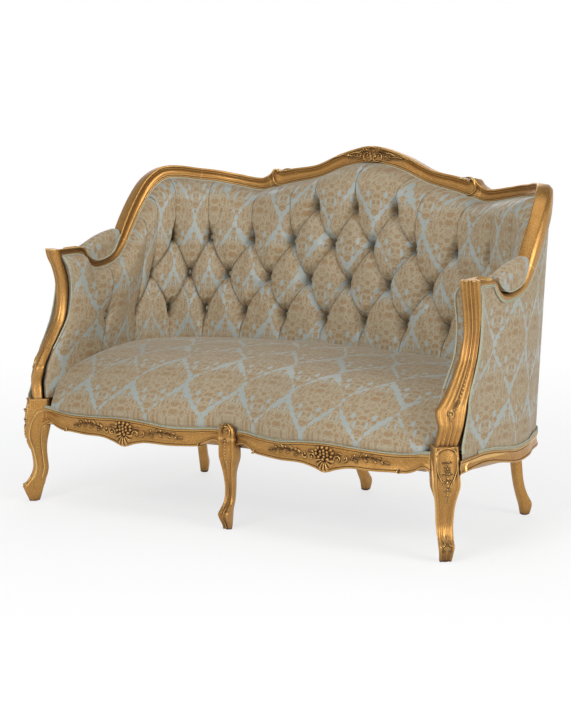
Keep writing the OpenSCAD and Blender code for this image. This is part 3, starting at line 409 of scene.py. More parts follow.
def close_material(tree, shader_inputs):
    shader = add(tree, "ShaderNodeBsdfPrincipled", shader_inputs)
    add(tree, "ShaderNodeOutputMaterial", (shader,))


def gold_leaf():
    """Gold paint burnished over a red-brown ground, darkened in the recesses and where parts meet by a brown
    glaze and painted shade, with painted highlights along the edges.
    """
    material, t = new_material("Gold leaf over red bole")
    if t is None:
        return material
    wood = settings("wood")
    place = add(t, "ShaderNodeTexCoord").outputs["Object"]
    cloud = add(t, "ShaderNodeTexNoise", {"Vector": place, "Scale": 17, "Detail": 5, "Roughness": 0.6})
    # Brush marks about 3 mm long, as coarse as the render shows
    brush = add(t, "ShaderNodeTexNoise", {"Vector": place, "Scale": 310, "Detail": 3, "Roughness": 0.65})
    # Painted shade: ambient occlusion darkens the gold toward the glaze colour in the recesses and, over a
    # wider reach, where parts meet; in the carved hollows it also stands for a real brown glaze
    near = add(t, "ShaderNodeAmbientOcclusion", {"Distance": 0.009}, samples=8)
    wide = add(t, "ShaderNodeAmbientOcclusion", {"Distance": 0.05}, samples=6)
    open_near = add(t, RANGE, (near.outputs["AO"], 0.45, 0.97, 0, 1))
    open_wide = add(t, RANGE, (wide.outputs["AO"], 0.15, 0.85, 0.30, 1))
    shade = calc(t, "MULTIPLY", open_near, open_wide)
    shade = calc(t, "ADD", shade, add(t, RANGE, (cloud, 0.3, 0.7, -0.16, 0.1)), use_clamp=True)
    # Painted shade and glaze in the recesses, gold on the open faces
    body = add(t, MIX, (shade, (*wood.glaze_and_shade, 1), (*wood.gold, 1)))
    # Painted highlight: pale gold is laid on the edges, found where the surface under a slight rounding looks
    # away from the face, and lighter leaf in random brush patches on the open faces
    inside = add(t, "ShaderNodeAmbientOcclusion", {"Distance": 0.004}, samples=6, inside=True)
    edge = add(t, RANGE, (inside.outputs["AO"], 0.90, 0.45, 0, 0.8))
    edge = calc(t, "MULTIPLY", edge, shade)
    wear_and_highlight = add(t, RANGE, (brush, 0.48, 0.72, 0, 0.5))
    wear_and_highlight = calc(t, "MAXIMUM", calc(t, "MULTIPLY", wear_and_highlight, shade), edge)
    # Painted highlight along the edges, with lighter leaf in random patches
    body = add(t, MIX, (wear_and_highlight, body, linear("#EDC27A")))
    stain = add(t, RANGE, (cloud, 0.50, 0.74, 0, 0.42))
    body = add(t, MIX, (stain, body, linear("#7E4E1E")))
    rough = add(t, RANGE, (brush, 0.3, 0.7, 0.24, 0.40))
    rough = add(t, MIX, (shade, (0.7, 0.7, 0.7, 1), rough))
    metal = add(t, RANGE, (shade, 0, 0.8, 0.1, 0.78))
    marks = add(t, "ShaderNodeBump", {"Strength": 0.22, "Distance": 0.0006, "Height": brush})
    close_material(t, {"Base Color": body, "Metallic": metal, "Roughness": rough, "Normal": marks})
    return material


def lobe(tree, x, y, centre, radii, petals, depth):
    """Distance of a point from a lobed oval's middle, 1 at its scalloped edge."""
    dx = calc(tree, "DIVIDE", calc(tree, "SUBTRACT", x, centre[0]), radii[0])
    dy = calc(tree, "DIVIDE", calc(tree, "SUBTRACT", y, centre[1]), radii[1])
    xx = calc(tree, "MULTIPLY", dx, dx)
    far = calc(tree, "SQRT", calc(tree, "MULTIPLY_ADD", dy, dy, xx))
    turn = calc(tree, "ARCTAN2", dy, dx)
    wave = calc(tree, "SINE", calc(tree, "MULTIPLY", turn, petals / 2))
    bulge = calc(tree, "MULTIPLY_ADD", calc(tree, "ABSOLUTE", wave), depth, 1 - depth)
    return calc(tree, "DIVIDE", far, bulge)


def least(tree, values):
    result = values[0]
    for value in values[1:]:
        result = calc(tree, "MINIMUM", result, value)
    return result


def below(tree, value, edge, blur):
    """1 where a value is under an edge, with a soft step."""
    return add(tree, RANGE, (value, edge + blur, edge - blur, 0, 1))


def damask_figure(t, place):
    """Share of the woven figure at a point of the cloth, and the share of the fine lines drawn in it.

    Channels of open ground cross in a lattice of ogees. Each ogee holds a plume over a collar of leaves.
    """
    cloth = settings("cloth")
    w, h = cloth.motif_w * 1000, cloth.motif_h * 1000
    split = add(t, "ShaderNodeSeparateXYZ", (place,))
    column = calc(t, "DIVIDE", split.outputs[0], cloth.motif_w)
    level = calc(t, "DIVIDE", split.outputs[1], cloth.motif_h * 2)
    across = calc(t, "SUBTRACT", calc(t, "FRACT", column), 0.5)
    x = calc(t, "MULTIPLY", calc(t, "ABSOLUTE", across), w)
    high = []
    for start in (0, 0.5):
        part = calc(t, "FRACT", calc(t, "ADD", level, start))
        high.append(calc(t, "MULTIPLY", calc(t, "SUBTRACT", part, 0.5), h * 2))
    turn = calc(t, "MULTIPLY", high[0], math.pi / h)
    edge = calc(t, "MULTIPLY_ADD", calc(t, "COSINE", turn), w / 4, w / 4)
    gap = calc(t, "SUBTRACT", x, edge)
    slope = calc(t, "MULTIPLY", calc(t, "SINE", turn), math.pi * w / 4 / h)
    slope = calc(t, "SQRT", calc(t, "MULTIPLY_ADD", slope, slope, 1))
    rim = calc(t, "DIVIDE", calc(t, "ABSOLUTE", gap), slope)
    other = calc(t, "GREATER_THAN", gap, 0)
    mirrored = calc(t, "SUBTRACT", w / 2, x)
    x = add(t, MIX, (other, x, mirrored))
    y = add(t, MIX, (other, high[0], high[1]))
    # Leafy edge of the channel, which opens out beside the collar of leaves
    leaf = calc(t, "SINE", calc(t, "MULTIPLY", y, math.pi / 19))
    leaf = calc(t, "MULTIPLY_ADD", calc(t, "ABSOLUTE", leaf), 5.6, 2.3)
    wide = calc(t, "DIVIDE", calc(t, "ADD", y, 38), 24)
    wide = calc(t, "MULTIPLY", calc(t, "MULTIPLY", wide, wide), -1)
    wide = calc(t, "MULTIPLY_ADD", calc(t, "EXPONENT", wide), 8, leaf)
    # The weave closes some channels and opens others
    patch = add(t, "ShaderNodeTexNoise", {"Vector": place, "Scale": 13, "Detail": 2})
    wide = calc(t, "ADD", wide, add(t, RANGE, (patch, 0.38, 0.58, -6.5, 1.5)))
    channel = below(t, calc(t, "SUBTRACT", rim, wide), 0, 0.7)
    eye = least(t, [
        lobe(t, x, y, (19, -66), (5, 15), 5, 0.3), lobe(t, x, y, (12, 84), (4, 13), 5, 0.3),
        lobe(t, x, y, (33, -38), (7, 12), 5, 0.35),
    ])
    ground = calc(t, "MAXIMUM", channel, below(t, eye, 1.0, 0.05))
    figure = calc(t, "SUBTRACT", 1, ground)
    # Fine outlines in the figure: round the plume, its heart and its collar, and veins that fan out below it
    plume = lobe(t, x, y, (0, 22), (40, 52), 15, 0.16)
    heart = lobe(t, x, y, (0, -4), (20, 24), 7, 0.3)
    collar = lobe(t, x, y, (0, -52), (34, 26), 11, 0.3)
    nested = least(t, [outlines(t, plume), outlines(t, heart), outlines(t, collar)])
    lines = below(t, nested, 0.16, 0.08)
    # Small leaves fill the rest, the same on both sides of the plume's stem
    leafy = add(t, "ShaderNodeCombineXYZ", (x, calc(t, "MULTIPLY", y, 0.72), 0.0))
    spread = {"Vector": leafy, "Scale": 1 / 19, "Randomness": 0.9}
    leaves = add(t, "ShaderNodeTexVoronoi", spread, feature="DISTANCE_TO_EDGE")
    lines = calc(t, "MAXIMUM", lines, below(t, leaves, 0.075, 0.04))
    angle = calc(t, "ARCTAN2", calc(t, "ADD", y, 44), calc(t, "ADD", x, 1))
    ray = calc(t, "SINE", calc(t, "MULTIPLY", angle, 20))
    veins = below(t, calc(t, "ABSOLUTE", ray), 0.2, 0.1)
    lines = calc(t, "MAXIMUM", lines, calc(t, "MULTIPLY", veins, 0.5))
    return (figure, calc(t, "MULTIPLY", lines, figure))


def outlines(tree, distance):
    """Near 0 along nested outlines of a shape."""
    wave = calc(tree, "SINE", calc(tree, "MULTIPLY", distance, math.pi))
    return calc(tree, "ABSOLUTE", wave)


def damask():
    """Silk and cotton damask: a matt ribbed figure on a smooth sateen ground, which shine differently."""
    material, t = new_material("Silk damask")
    if t is None:
        return material
    cloth = settings("cloth")
    place = add(t, "ShaderNodeUVMap", uv_map="cloth")
    # The cloth never lies quite straight, so the pattern wanders by a few millimetres
    drift = add(t, "ShaderNodeTexNoise", {"Vector": place, "Scale": 7, "Detail": 1})
    drift = add(t, "ShaderNodeVectorMath", (drift.outputs["Color"], (0.5, 0.5, 0.5)), operation="SUBTRACT")
    drift = add(t, "ShaderNodeVectorMath", {0: drift, "Scale": 0.012}, operation="SCALE")
    edge = add(t, "ShaderNodeTexNoise", {"Vector": place, "Scale": 240, "Detail": 1})
    edge = add(t, "ShaderNodeVectorMath", (edge.outputs["Color"], (0.5, 0.5, 0.5)), operation="SUBTRACT")
    edge = add(t, "ShaderNodeVectorMath", {0: edge, "Scale": 0.0045}, operation="SCALE")
    moved = add(t, "ShaderNodeVectorMath", (place, drift), operation="ADD")
    moved = add(t, "ShaderNodeVectorMath", (moved, edge), operation="ADD")
    figure, lines = damask_figure(t, moved)
    tone = add(t, "ShaderNodeTexNoise", {"Vector": place, "Scale": 9, "Detail": 3})
    pale = add(t, MIX, (add(t, RANGE, (tone, 0.35, 0.65, 0, 0.35)), (*cloth.ground, 1), linear("#90958C")))
    tan = add(t, MIX, (add(t, RANGE, (tone, 0.35, 0.65, 0, 0.4)), (*cloth.figure, 1), linear("#94744A")))
    tan = add(t, MIX, (calc(t, "MULTIPLY", lines, 0.62), tan, linear("#ABA48D")))
    colour = add(t, MIX, (figure, pale, tan))
    # Painted shade: the cloth is darkened toward near-black in the pits and along the pleats, by the depth
    # kept in this attribute
    fold_shade = add(t, "ShaderNodeAttribute", attribute_name="fold_shade").outputs["Fac"]
    hidden = add(t, RANGE, (fold_shade, 0.25, 0.9, 0, 0.85))
    colour = add(t, MIX, (hidden, colour, linear("#2B2A22")))
    # Threads really lie about 0.3 mm apart. They are drawn 1.6 mm apart, which still shows.
    thread = {"Scale": 196, "Distortion": 0.6, "Detail": 1}
    warp = add(t, "ShaderNodeTexWave", {"Vector": place, **thread}, bands_direction="X")
    weft = add(t, "ShaderNodeTexWave", {"Vector": place, **thread}, bands_direction="Y")
    weave = add(t, MIX, (figure, warp, add(t, MIX, (0.5, warp, weft))))
    colour = add(t, MIX, (0.14, colour, weave), blend_type="SOFT_LIGHT")
    relief = calc(t, "MULTIPLY_ADD", figure, 1.2, calc(t, "MULTIPLY", weave, 0.35))
    bump = add(t, "ShaderNodeBump", {"Strength": 0.35, "Distance": 0.0004, "Height": relief})
    rough = add(t, RANGE, (figure, 0, 1, 0.36, 0.66))
    close_material(t, {
        "Base Color": colour, "Roughness": rough, "Normal": bump,
        "Sheen Weight": 0.22, "Sheen Roughness": 0.4, "Specular IOR Level": 0.42,
    })
    return material


def plain_finish(
    name, colour, dark, scale, stretch=(1, 1, 1), roughness=0.6, bump=0.2, distance=0.0004, wave=False,
):
    """A finish of one colour, clouded and grained at a real size."""
    material, t = new_material(name)
    if t is None:
        return material
    place = add(t, "ShaderNodeTexCoord").outputs["Object"]
    place = add(t, "ShaderNodeMapping", {"Vector": place, "Scale": stretch})
    if wave:
        yarn = {"Vector": place, "Scale": scale, "Distortion": 1.5}
        grain = add(t, "ShaderNodeTexWave", {**yarn, "Detail": 2})
        cross = add(t, "ShaderNodeTexWave", yarn, bands_direction="Y")
        grain = add(t, MIX, (0.5, grain, cross))
    else:
        grain = add(t, "ShaderNodeTexNoise", {"Vector": place, "Scale": scale, "Detail": 5, "Roughness": 0.6})
    shade = add(t, RANGE, (grain, 0.3, 0.7, 0, 1))
    body = add(t, MIX, (shade, linear(dark), linear(colour)))
    bumps = add(t, "ShaderNodeBump", {"Strength": bump, "Distance": distance, "Height": grain})
    close_material(t, {"Base Color": body, "Roughness": roughness, "Normal": bumps})
    return material


def piping_cord():
    """Cord covered in the damask's plain back."""
    return plain_finish("Bias-cut piping", "#B7B49C", "#8D8C75", 260, roughness=0.6, bump=0.35)


def beech():
    """Planed beech: pale and close-grained, with short flecks along the grain."""
    return plain_finish("Planed beech", "#CDA777", "#A97F4E", 40, (1, 1, 0.12), 0.55, 0.15)


def jute():
    """Jute webbing: coarse plain weave in yarns about 2 mm thick."""
    relief = {"bump": 0.8, "distance": 0.001, "wave": True}
    return plain_finish("Jute webbing", "#8D7040", "#54401F", 160, roughness=0.85, **relief)


def hessian():
    """Hessian: open plain weave in yarns about 1 mm thick."""
    relief = {"bump": 0.8, "distance": 0.0008, "wave": True}
    return plain_finish("Hessian", "#B09565", "#775E37", 240, roughness=0.9, **relief)


def black_cotton():
    """Dyed cotton lining: thin, matt and nearly black."""
    return plain_finish("Black cotton lining", "#34322E", "#201F1C", 300, roughness=0.85, bump=0.4, wave=True)


def nylon():
    """Moulded nylon glide: matt, with a fine mould texture."""
    return plain_finish("Moulded nylon", "#8C8679", "#77726A", 500, roughness=0.5, bump=0.1)


def volume(points, faces):
    """Six times the volume inside closed faces, below zero where they point inward."""
    total = 0.0
    for size in {len(face) for face in faces}:
        f = np.array([face for face in faces if len(face) == size])
        for i in range(1, size - 1):
            total += np.einsum("ij,ij->", points[f[:, 0]], np.cross(points[f[:, i]], points[f[:, i + 1]]))
    return total


def grid_faces(n, m, start=0, closed=False):
    """Quads of a grid of n rows of m points, closed round each row if asked."""
    i, j = np.meshgrid(np.arange(n - 1), np.arange(m if closed else m - 1), indexing="ij")
    k = (j + 1) % m
    quads = np.stack([i * m + j, i * m + k, (i + 1) * m + k, (i + 1) * m + j], -1)
    return (start + quads.reshape(-1, 4)).tolist()


def loft(rings):
    """Closed solid through rings that all have the same number of points."""
    rings = np.asarray(rings, float)
    n, m = rings.shape[:2]
    faces = grid_faces(n, m, closed=True) + [list(range(m))[::-1], list(range((n - 1) * m, n * m))]
    return rings.reshape(-1, 3), faces


def enrol(name, mesh, slot, nodes):
    """Puts a mesh in the scene as a piece that rides on the sofa and may stand for frame nodes."""
    obj = bpy.data.objects.new(name, mesh)
    bpy.context.scene.collection.objects.link(obj)
    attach(obj, BODY)
    if nodes:
        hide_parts(*nodes)
    return obj


def piece(name, points, faces, material, slot, cloth=None, sharp=50, nodes=()):
    """A closed mesh of points in millimetres that faces outward, as a piece of the sofa."""
    points = np.asarray(points, float)
    if volume(points - points.mean(0), faces) < 0:
        faces = [face[::-1] for face in faces]
    mesh = bpy.data.meshes.new(name)
    mesh.from_pydata((points * MM).tolist(), [], faces)
    if cloth is not None:
        uv = mesh.uv_layers.new(name="cloth")
        corner = np.empty(len(mesh.loops), int)
        mesh.loops.foreach_get("vertex_index", corner)
        uv.data.foreach_set("uv", np.asarray(cloth, float)[corner].ravel())
    mesh.polygons.foreach_set("use_smooth", [True] * len(mesh.polygons))
    mesh.set_sharp_from_angle(angle=math.radians(sharp))
    mesh.materials.append(material)
    return enrol(name, mesh, slot, nodes)


def pair(name, points, faces, material, slot, **more):
    """The piece on the right-hand side and its mirror image on the left."""
    made = []
    nodes, cloth = more.pop("nodes", ()), more.pop("cloth", None)
    for hand, sign in HANDS:
        more["nodes"] = [f"{node}_{hand}" for node in nodes]
        more["cloth"] = None if cloth is None else np.asarray(cloth) * [sign, 1]
        made.append(piece(f"{name}_{hand}", np.asarray(points) * [sign, 1, 1], faces, material, slot, **more))
    return made


def soften(section, radius, steps=3):
    """Rounds every corner of a closed section by a radius, or by half its sides where they are short."""
    p = np.asarray(section, float)
    a, b = np.roll(p, 1, 0) - p, np.roll(p, -1, 0) - p
    start = p + a * np.minimum(radius / np.linalg.norm(a, axis=1), 0.5)[:, None]
    end = p + b * np.minimum(radius / np.linalg.norm(b, axis=1), 0.5)[:, None]
    t = ((np.arange(steps) + 0.5) / steps)[None, :, None]
    curve = (1 - t) ** 2 * start[:, None] + 2 * t * (1 - t) * p[:, None] + t**2 * end[:, None]
    return curve.reshape(-1, 2)


def moulding(h, bead, hollow):
    """Face of a rail from its upper to its lower edge: [height, proud], two beads and a cove between them."""
    rb = bead / 2
    turns = np.radians([100, 60, 20, -20, -60])
    top = [[h / 2 - rb + rb * math.sin(a), -rb + rb * math.cos(a)] for a in turns]
    cove = [[lerp(h / 2 - bead - 1, -h / 2 + bead + 1, k), -1.2 - hollow * math.sin(math.pi * k) ** 0.8]
            for k in np.linspace(0, 1, 9)]
    foot = [[-c[0], c[1]] for c in top[::-1]]
    return top + [[h / 2 - bead, -4.2]] + cove + [[-h / 2 + bead, -4.2]] + foot


def top_section(h, t, raised=0.0, bead=None):
    bead = bead or min(8, h * 0.24)
    back = [[-h / 2, -t / 2 + 4], [-h / 2 + 4, -t / 2], [h / 2 - 15, -t / 2], [h / 2 - 5, -t / 2 + 9]]
    return np.array(back + [[c[0], t / 2 + c[1] + raised] for c in moulding(h, bead, COVE)])


def seat_section(low, high, lip):
    mid = (low + high) / 2
    face = [[mid + c[0], c[1]] for c in moulding(high - low, 7, min(COVE, lip - 2))]
    foot, back = SEAT_RAIL_FOOT_Z, -SEAT_RAIL_T
    below_face = [[low, -lip - 6], [foot, back + 14], [foot, back], [LEDGE_Z, back]]
    return np.array([[LEDGE_Z, -lip], [high - 1, -lip]] + face + below_face)


def leg_section(w, t, back):
    """Leg with two edge beads and a raised rib between two flutes, its back narrower with eased corners."""
    b = w / 2 * back
    half = [[w / 2 - 14, t / 2 - 4], [w / 2 - 9, t / 2 - 3.5], [w / 2 - 6.5, t / 2],
            [w / 2 - 2.5, t / 2 - 0.5], [w / 2, t / 2 - 7], [b, -t / 2 + 9], [b - 9, -t / 2]]
    rib = [[-w / 2 + 17, t / 2 - 2.5], [0, t / 2 + 0.5], [w / 2 - 17, t / 2 - 2.5]]
    return np.array(half + [[-c[0], c[1]] for c in half[::-1]] + rib)


def post_section(w, t):
    """Arm post: two reeds on each side of a middle rib."""
    half = [[w * 0.07, t / 2 - 3.6], [w * 0.13, t / 2 - 3.2], [w * 0.2, t / 2 + 0.4], [w * 0.27, t / 2 - 3],
            [w * 0.32, t / 2 - 3.4], [w * 0.38, t / 2], [w * 0.46, t / 2 - 1], [w / 2, t / 2 - 6],
            [w / 2, -t / 2 + 4], [w / 2 - 4, -t / 2]]
    rib = [[-w * 0.04, t / 2 - 0.5], [0, t / 2 + 1], [w * 0.04, t / 2 - 0.5]]
    return np.array(half + [[-c[0], c[1]] for c in half[::-1]] + rib)


def rail_ring(s):
    """Ring of the top or arm rail, with the crest's swell at the middle and a scroll near its ends."""
    a = abs(s)
    w, p, n, u = wrap(a), top_at(a), facing(wrap(a)[4]), rail_up(a)
    swell, scroll = math.exp(-((a / 62) ** 2)), math.exp(-(((a - SCROLL_RUN) / 14) ** 2))
    ring = []
    for c in soften(top_section(w[5], RAIL_T), 2.5, 2):
        up = c[0] + (5 * swell + 13 * scroll if c[0] > 0 else 0)
        out = c[1] + (6 * swell + 3 * scroll if c[1] > 0 else 0)
        ring.append(p + up * u + out * n)
    ring = np.array(ring)
    return ring * [-1, 1, 1] if s < 0 else ring


def arm_end_ring():
    """Last ring of the arm rail, cut along the back of the arm post."""
    w = wrap(RAIL_END)
    c = soften(top_section(w[5], RAIL_T * 0.8), 2.5, 2)
    x, z = w[1] - c[:, 1], w[3] + c[:, 0]
    return np.stack([x, post_back_y(x, z), z], -1)


def level_ring(p, turn, section):
    """Level ring of an upright round a point."""
    a = math.radians(turn)
    n, across = np.array([math.sin(a), -math.cos(a), 0]), np.array([-math.cos(a), -math.sin(a), 0])
    return np.asarray(p) + section[:, :1] * across + section[:, 1:] * n


def upright(table, place, section, spacing=5.0):
    """Closed solid through level rings at even heights. place(row) gives a ring's point and turn."""
    heights = np.linspace(table[0][0], table[-1][0], int((table[-1][0] - table[0][0]) / spacing) + 2)
    rings = []
    for row in smooth(table, heights):
        point, turn = place(row)
        rings.append(level_ring(point, turn, soften(section(row), 2.5, 2)))
    return loft(rings)


def back_share(z):
    return lerp(0.66, 1, ease((z - 150) / 54))


def centre_leg_points():
    """The centre leg's crest stands in front of its block, so the two are lofted apart and share a face."""
    low = [row for row in CENTRE_LEG if row[0] <= LEDGE_Z]
    high = [row for row in CENTRE_LEG if row[0] > LEDGE_Z]
    place = lambda row: ([0, CENTRE_Y - row[1], row[0]], 0)
    section = lambda row: leg_section(row[2], row[3], back_share(row[0]))
    p1, f1 = upright(low, place, section)
    p2, f2 = upright([[LEDGE_Z - 4, *high[0][1:]], *high], place, section, 3.0)
    return np.concatenate([p1, p2]), f1 + [[i + len(p1) for i in f] for f in f2]


def front_rail_ring(x):
    k = smooth(FRONT_RAIL, x)
    n = facing(k[4]) / math.cos(math.radians(k[4]))
    c = soften(seat_section(k[2], k[3], 12), 2.5, 2)
    return np.array([k[0], k[1], 0]) + c[:, :1] * [0, 0, 1] + c[:, 1:] * n


def side_rail_rings():
    rings = []
    flank = CORNER[0] + CORNER[1] + (BLOCK_W / 2 + GAP) * math.sqrt(2)
    k, w = smooth(SIDE_RAIL, 1300), wrap(RAIL_END)
    c = soften(seat_section(k[1], k[2], 5), 2.5, 2)
    x = w[6] + SEAT_RAIL_T / 2
    rings.append(np.stack([x + c[:, 1], flank - x - c[:, 1], c[:, 0]], -1))
    for s in np.linspace(1225, REAR_LEG_RUN + LEG_HALF, 90):
        k, w, n = smooth(SIDE_RAIL, s), wrap(s), -facing(wrap(s)[4])
        c = soften(seat_section(k[1], k[2], 5), 2.5, 2)
        p = np.array([w[6], w[7], 0]) + SEAT_RAIL_T / 2 * n
        rings.append(p + c[:, :1] * [0, 0, 1] + c[:, 1:] * n)
    return rings


def refined_copy(name, node, material, slot):
    """A smoother copy of a frame node, its triangles joined into quads before it is subdivided."""
    bm = bmesh.new()
    bm.from_mesh(NODES[node].data)
    bmesh.ops.remove_doubles(bm, verts=bm.verts, dist=2e-5)
    flat, square = math.radians(12), math.radians(50)
    bmesh.ops.join_triangles(bm, faces=bm.faces, angle_face_threshold=flat, angle_shape_threshold=square)
    crease = bm.edges.layers.float.new("crease_edge")
    for edge in bm.edges:
        if len(edge.link_faces) == 2 and edge.calc_face_angle(0) > math.radians(65):
            edge[crease] = 0.85
    mesh = bpy.data.meshes.new(name)
    bm.to_mesh(mesh)
    bm.free()
    mesh.polygons.foreach_set("use_smooth", [True] * len(mesh.polygons))
    mesh.materials.append(material)
    obj = enrol(name, mesh, slot, [node])
    rounder = obj.modifiers.new("Rounding", "SUBSURF")
    rounder.levels = rounder.render_levels = 2


BUTTON_ROWS = [
    [i + 0.5 for i in range(-7, 7)], list(range(-5, 6)), [i + 0.5 for i in range(-5, 5)], [-1, 0, 1],
]
BUTTONS = {(u, v): (run_of(u), BUTTON_Z + v * ROW) for v, row in enumerate(BUTTON_ROWS) for u in row}


def pleat_lines():
    """Pleats of the cover: from button to button, and from the outer buttons to the rail and to the seat."""
    lines = []
    for (u, v), (s, z) in BUTTONS.items():
        above = [(u - 0.5, v + 1), (u + 0.5, v + 1)]
        lines += [[s, z, *BUTTONS[k], False] for k in above if k in BUTTONS]
        if not all(k in BUTTONS for k in above):
            lean = math.copysign(0.1, u) if u else 0
            rise = float(edge_at(abs(s))[2]) - z
            lines.append([s, z, s + lean * rise, z + rise, True])
        if v == 0:
            lines.append([s, z, s, z - 200, True])
    return lines


def tufting(s, z):
    """Height of the puffs, from 0 in a pit to 1 on a crown, and the distances to a pleat and a button."""
    height, pleat, button = np.ones_like(s), np.full_like(s, 1e9), np.full_like(s, 1e9)
    for s0, z0, s1, z1, is_open in pleat_lines():
        length = math.hypot(s1 - s0, z1 - z0)
        ds, dz = (s1 - s0) / length, (z1 - z0) / length
        t = np.clip((s - s0) * ds + (z - z0) * dz, 0, length)
        d = np.hypot(s - s0 - t * ds, z - z0 - t * dz)
        side = ((s - s0) * dz - (z - z0) * ds) / np.maximum(d, 1e-6)
        # One side of a pleat laps over the other, so it drops faster
        crease = 0.22 * np.exp(-d * (1 + 0.5 * side) / 5.5) + 0.26 * np.exp(-((d / 24) ** 2))
        fade = lerp(1, 0.3, t / length) if is_open else 1
        height = np.minimum(height, 1 - crease * fade)
        pleat = np.minimum(pleat, d)
    for s0, z0 in BUTTONS.values():
        d = np.hypot(s - s0, z - z0)
        # A pit is drawn out upward and downward, with small gathers round its rim
        far = np.hypot((s - s0) * 1.08, (z - z0) * np.where(z > z0, 0.60, 0.76))
        turn = np.arctan2(z - z0, s - s0)
        gathers = 0.042 * np.cos(9 * turn + s0 * 0.13) * np.exp(-(((d - 29) / 14) ** 2))
        height = (height + gathers) * far**2 / (far**2 + 14**2) * (1 + 14**2 / 110**2)
        button = np.minimum(button, d)
    return np.clip(height, 0, 1.06), pleat, button


def pad_thickness(a, z):
    """Thickness of the inside pads over the frame's middle: full, at the rail, and the share between."""
    full = lerp(98 + 8 * ease(a / 250), 62, ease((a - 560) / 270)) - 4 * ease((a - 1050) / 240)
    # It rolls over at its front end too, beside the arm post
    front = np.clip((RAIL_END - a) / 30, 0, 1)
    full = full * lerp(0.78, 1, np.sqrt(1 - (1 - front) ** 2))
    fall_mm = np.clip((edge_at(a)[..., 2] - z) / 58, 0, 1)
    return full, RAIL_T / 2 - 3, np.sqrt(1 - (1 - fall_mm) ** 2)


def forward(a, p, z):
    """Draws a point of the arm's cover forward to the arm post."""
    low = np.clip((a - 1060) / (RAIL_END - 1060), 0, 1) ** 1.5
    top = np.clip((a - 1215) / (RAIL_END - 1215), 0, 1)
    share = np.clip((z - LEDGE_Z) / (edge_at(a)[..., 2] - LEDGE_Z), 0, 1)
    clear = 1.5 + 10 * (1 - ease((z - 400) / 60))
    y = np.maximum(post_back_y(p[..., 0], z) + clear, p[..., 1] - 100)
    return np.stack([p[..., 0], lerp(p[..., 1], y, lerp(low, top, share**3)), z + 0 * y], -1)


def cover_point(s, z, q):
    """Point of a cover at a distance from the frame's middle plane, on either side of the sofa."""
    a = np.abs(s)
    return mirror_x(s, forward(a, skin(a, z, q), z))


def puff_up(obj, hold, pressure, cap, frames=20):
    """Lets stuffing press a cover out by simulation. hold is 1 where it is sewn or tacked down."""
    mesh = obj.data
    count = len(mesh.vertices)
    before = np.empty(count * 3)
    mesh.vertices.foreach_get("co", before)
    group = obj.vertex_groups.new(name="hold")
    for weight in np.unique(hold):
        if weight > 0:
            group.add(np.flatnonzero(hold == weight).tolist(), float(weight), "REPLACE")
    cloth = obj.modifiers.new("Stuffing", "CLOTH")
    choice = cloth.settings
    choice.quality = 4
    choice.mass = 0.35
    choice.tension_stiffness = choice.compression_stiffness = 12
    choice.shear_stiffness = 6
    choice.bending_stiffness = 0.4
    choice.vertex_group_mass = "hold"
    choice.use_pressure = True
    choice.uniform_pressure_force = pressure
    choice.effector_weights.gravity = 0
    cloth.point_cache.frame_end = frames
    scene = bpy.context.scene
    for number in range(1, frames + 1):
        scene.frame_set(number)
    graph = bpy.context.evaluated_depsgraph_get()
    after = np.empty(count * 3)
    obj.evaluated_get(graph).data.vertices.foreach_get("co", after)
    obj.modifiers.remove(cloth)
    obj.vertex_groups.remove(group)
    scene.frame_set(1)
    move = (after - before).reshape(-1, 3)
    far = np.linalg.norm(move, axis=1, keepdims=True)
    if not np.isfinite(far).all():
        raise RuntimeError(f"the stuffing of {obj.name} blew up")
    move *= np.minimum(1, cap / np.maximum(far, 1e-9))
    mesh.vertices.foreach_set("co", (before.reshape(-1, 3) + move).ravel())
    mesh.update()


class BuildShowWood(bpy.types.Operator):
    """Moulded rails, arm posts and cabriole legs of the show-wood frame"""

    bl_idname = "sofa.show_wood"
    bl_label = "Show-wood frame"

    def execute(self, context):
        look = (gold_leaf(), "gilt_wood")
        crest = [rail_ring(s) for s in np.linspace(-CREST_HALF, CREST_HALF, 201)]
        piece("crest_rail", *loft(crest), *look, nodes=["crest_rail_centre"])
        stretches = (("top_rail", CREST_HALF, CORNER_START), ("corner_rail", CORNER_START, ARM_START))
        for name, start, end in stretches:
            rings = [rail_ring(s) for s in np.linspace(start, end, int((end - start) / 5))]
            pair(f"moulded_{name}", *loft(rings), *look, nodes=[name])
        rings = [rail_ring(s) for s in np.linspace(ARM_START, ARM_RAIL_END, 68)]
        pair("moulded_arm_rail", *loft(rings + [arm_end_ring()]), *look, nodes=["arm_rail"])
        place = lambda row: ([row[1], row[2], row[0]], row[4])
        post = upright(POST, place, lambda row: post_section(row[3], POST_T))
        pair("reeded_arm_post", *post, *look, nodes=["arm_post"])
        place = lambda row: (np.array([FOOT_X, FRONT_Y, row[0]]) + row[1] * facing(45), 45)
        leg = upright(CORNER_LEG, place, lambda row: leg_section(row[2], row[3], back_share(row[0])), 4.0)
        pair("fluted_front_leg", *leg, *look, nodes=["front_leg"])
        piece("fluted_centre_leg", *centre_leg_points(), *look, nodes=["front_leg_centre"])
        rings = [front_rail_ring(x) for x in np.linspace(RAIL_FROM, RAIL_TO, 150)]
        pair("moulded_front_rail", *loft(rings), *look, nodes=["front_rail"])
        pair("moulded_side_rail", *loft(side_rail_rings()), *look, nodes=["side_rail"])
        for name in ("rear_leg_left", "rear_leg_centre", "rear_leg_right"):
            refined_copy("shaped_" + name, name, *look)
        return {"FINISHED"}


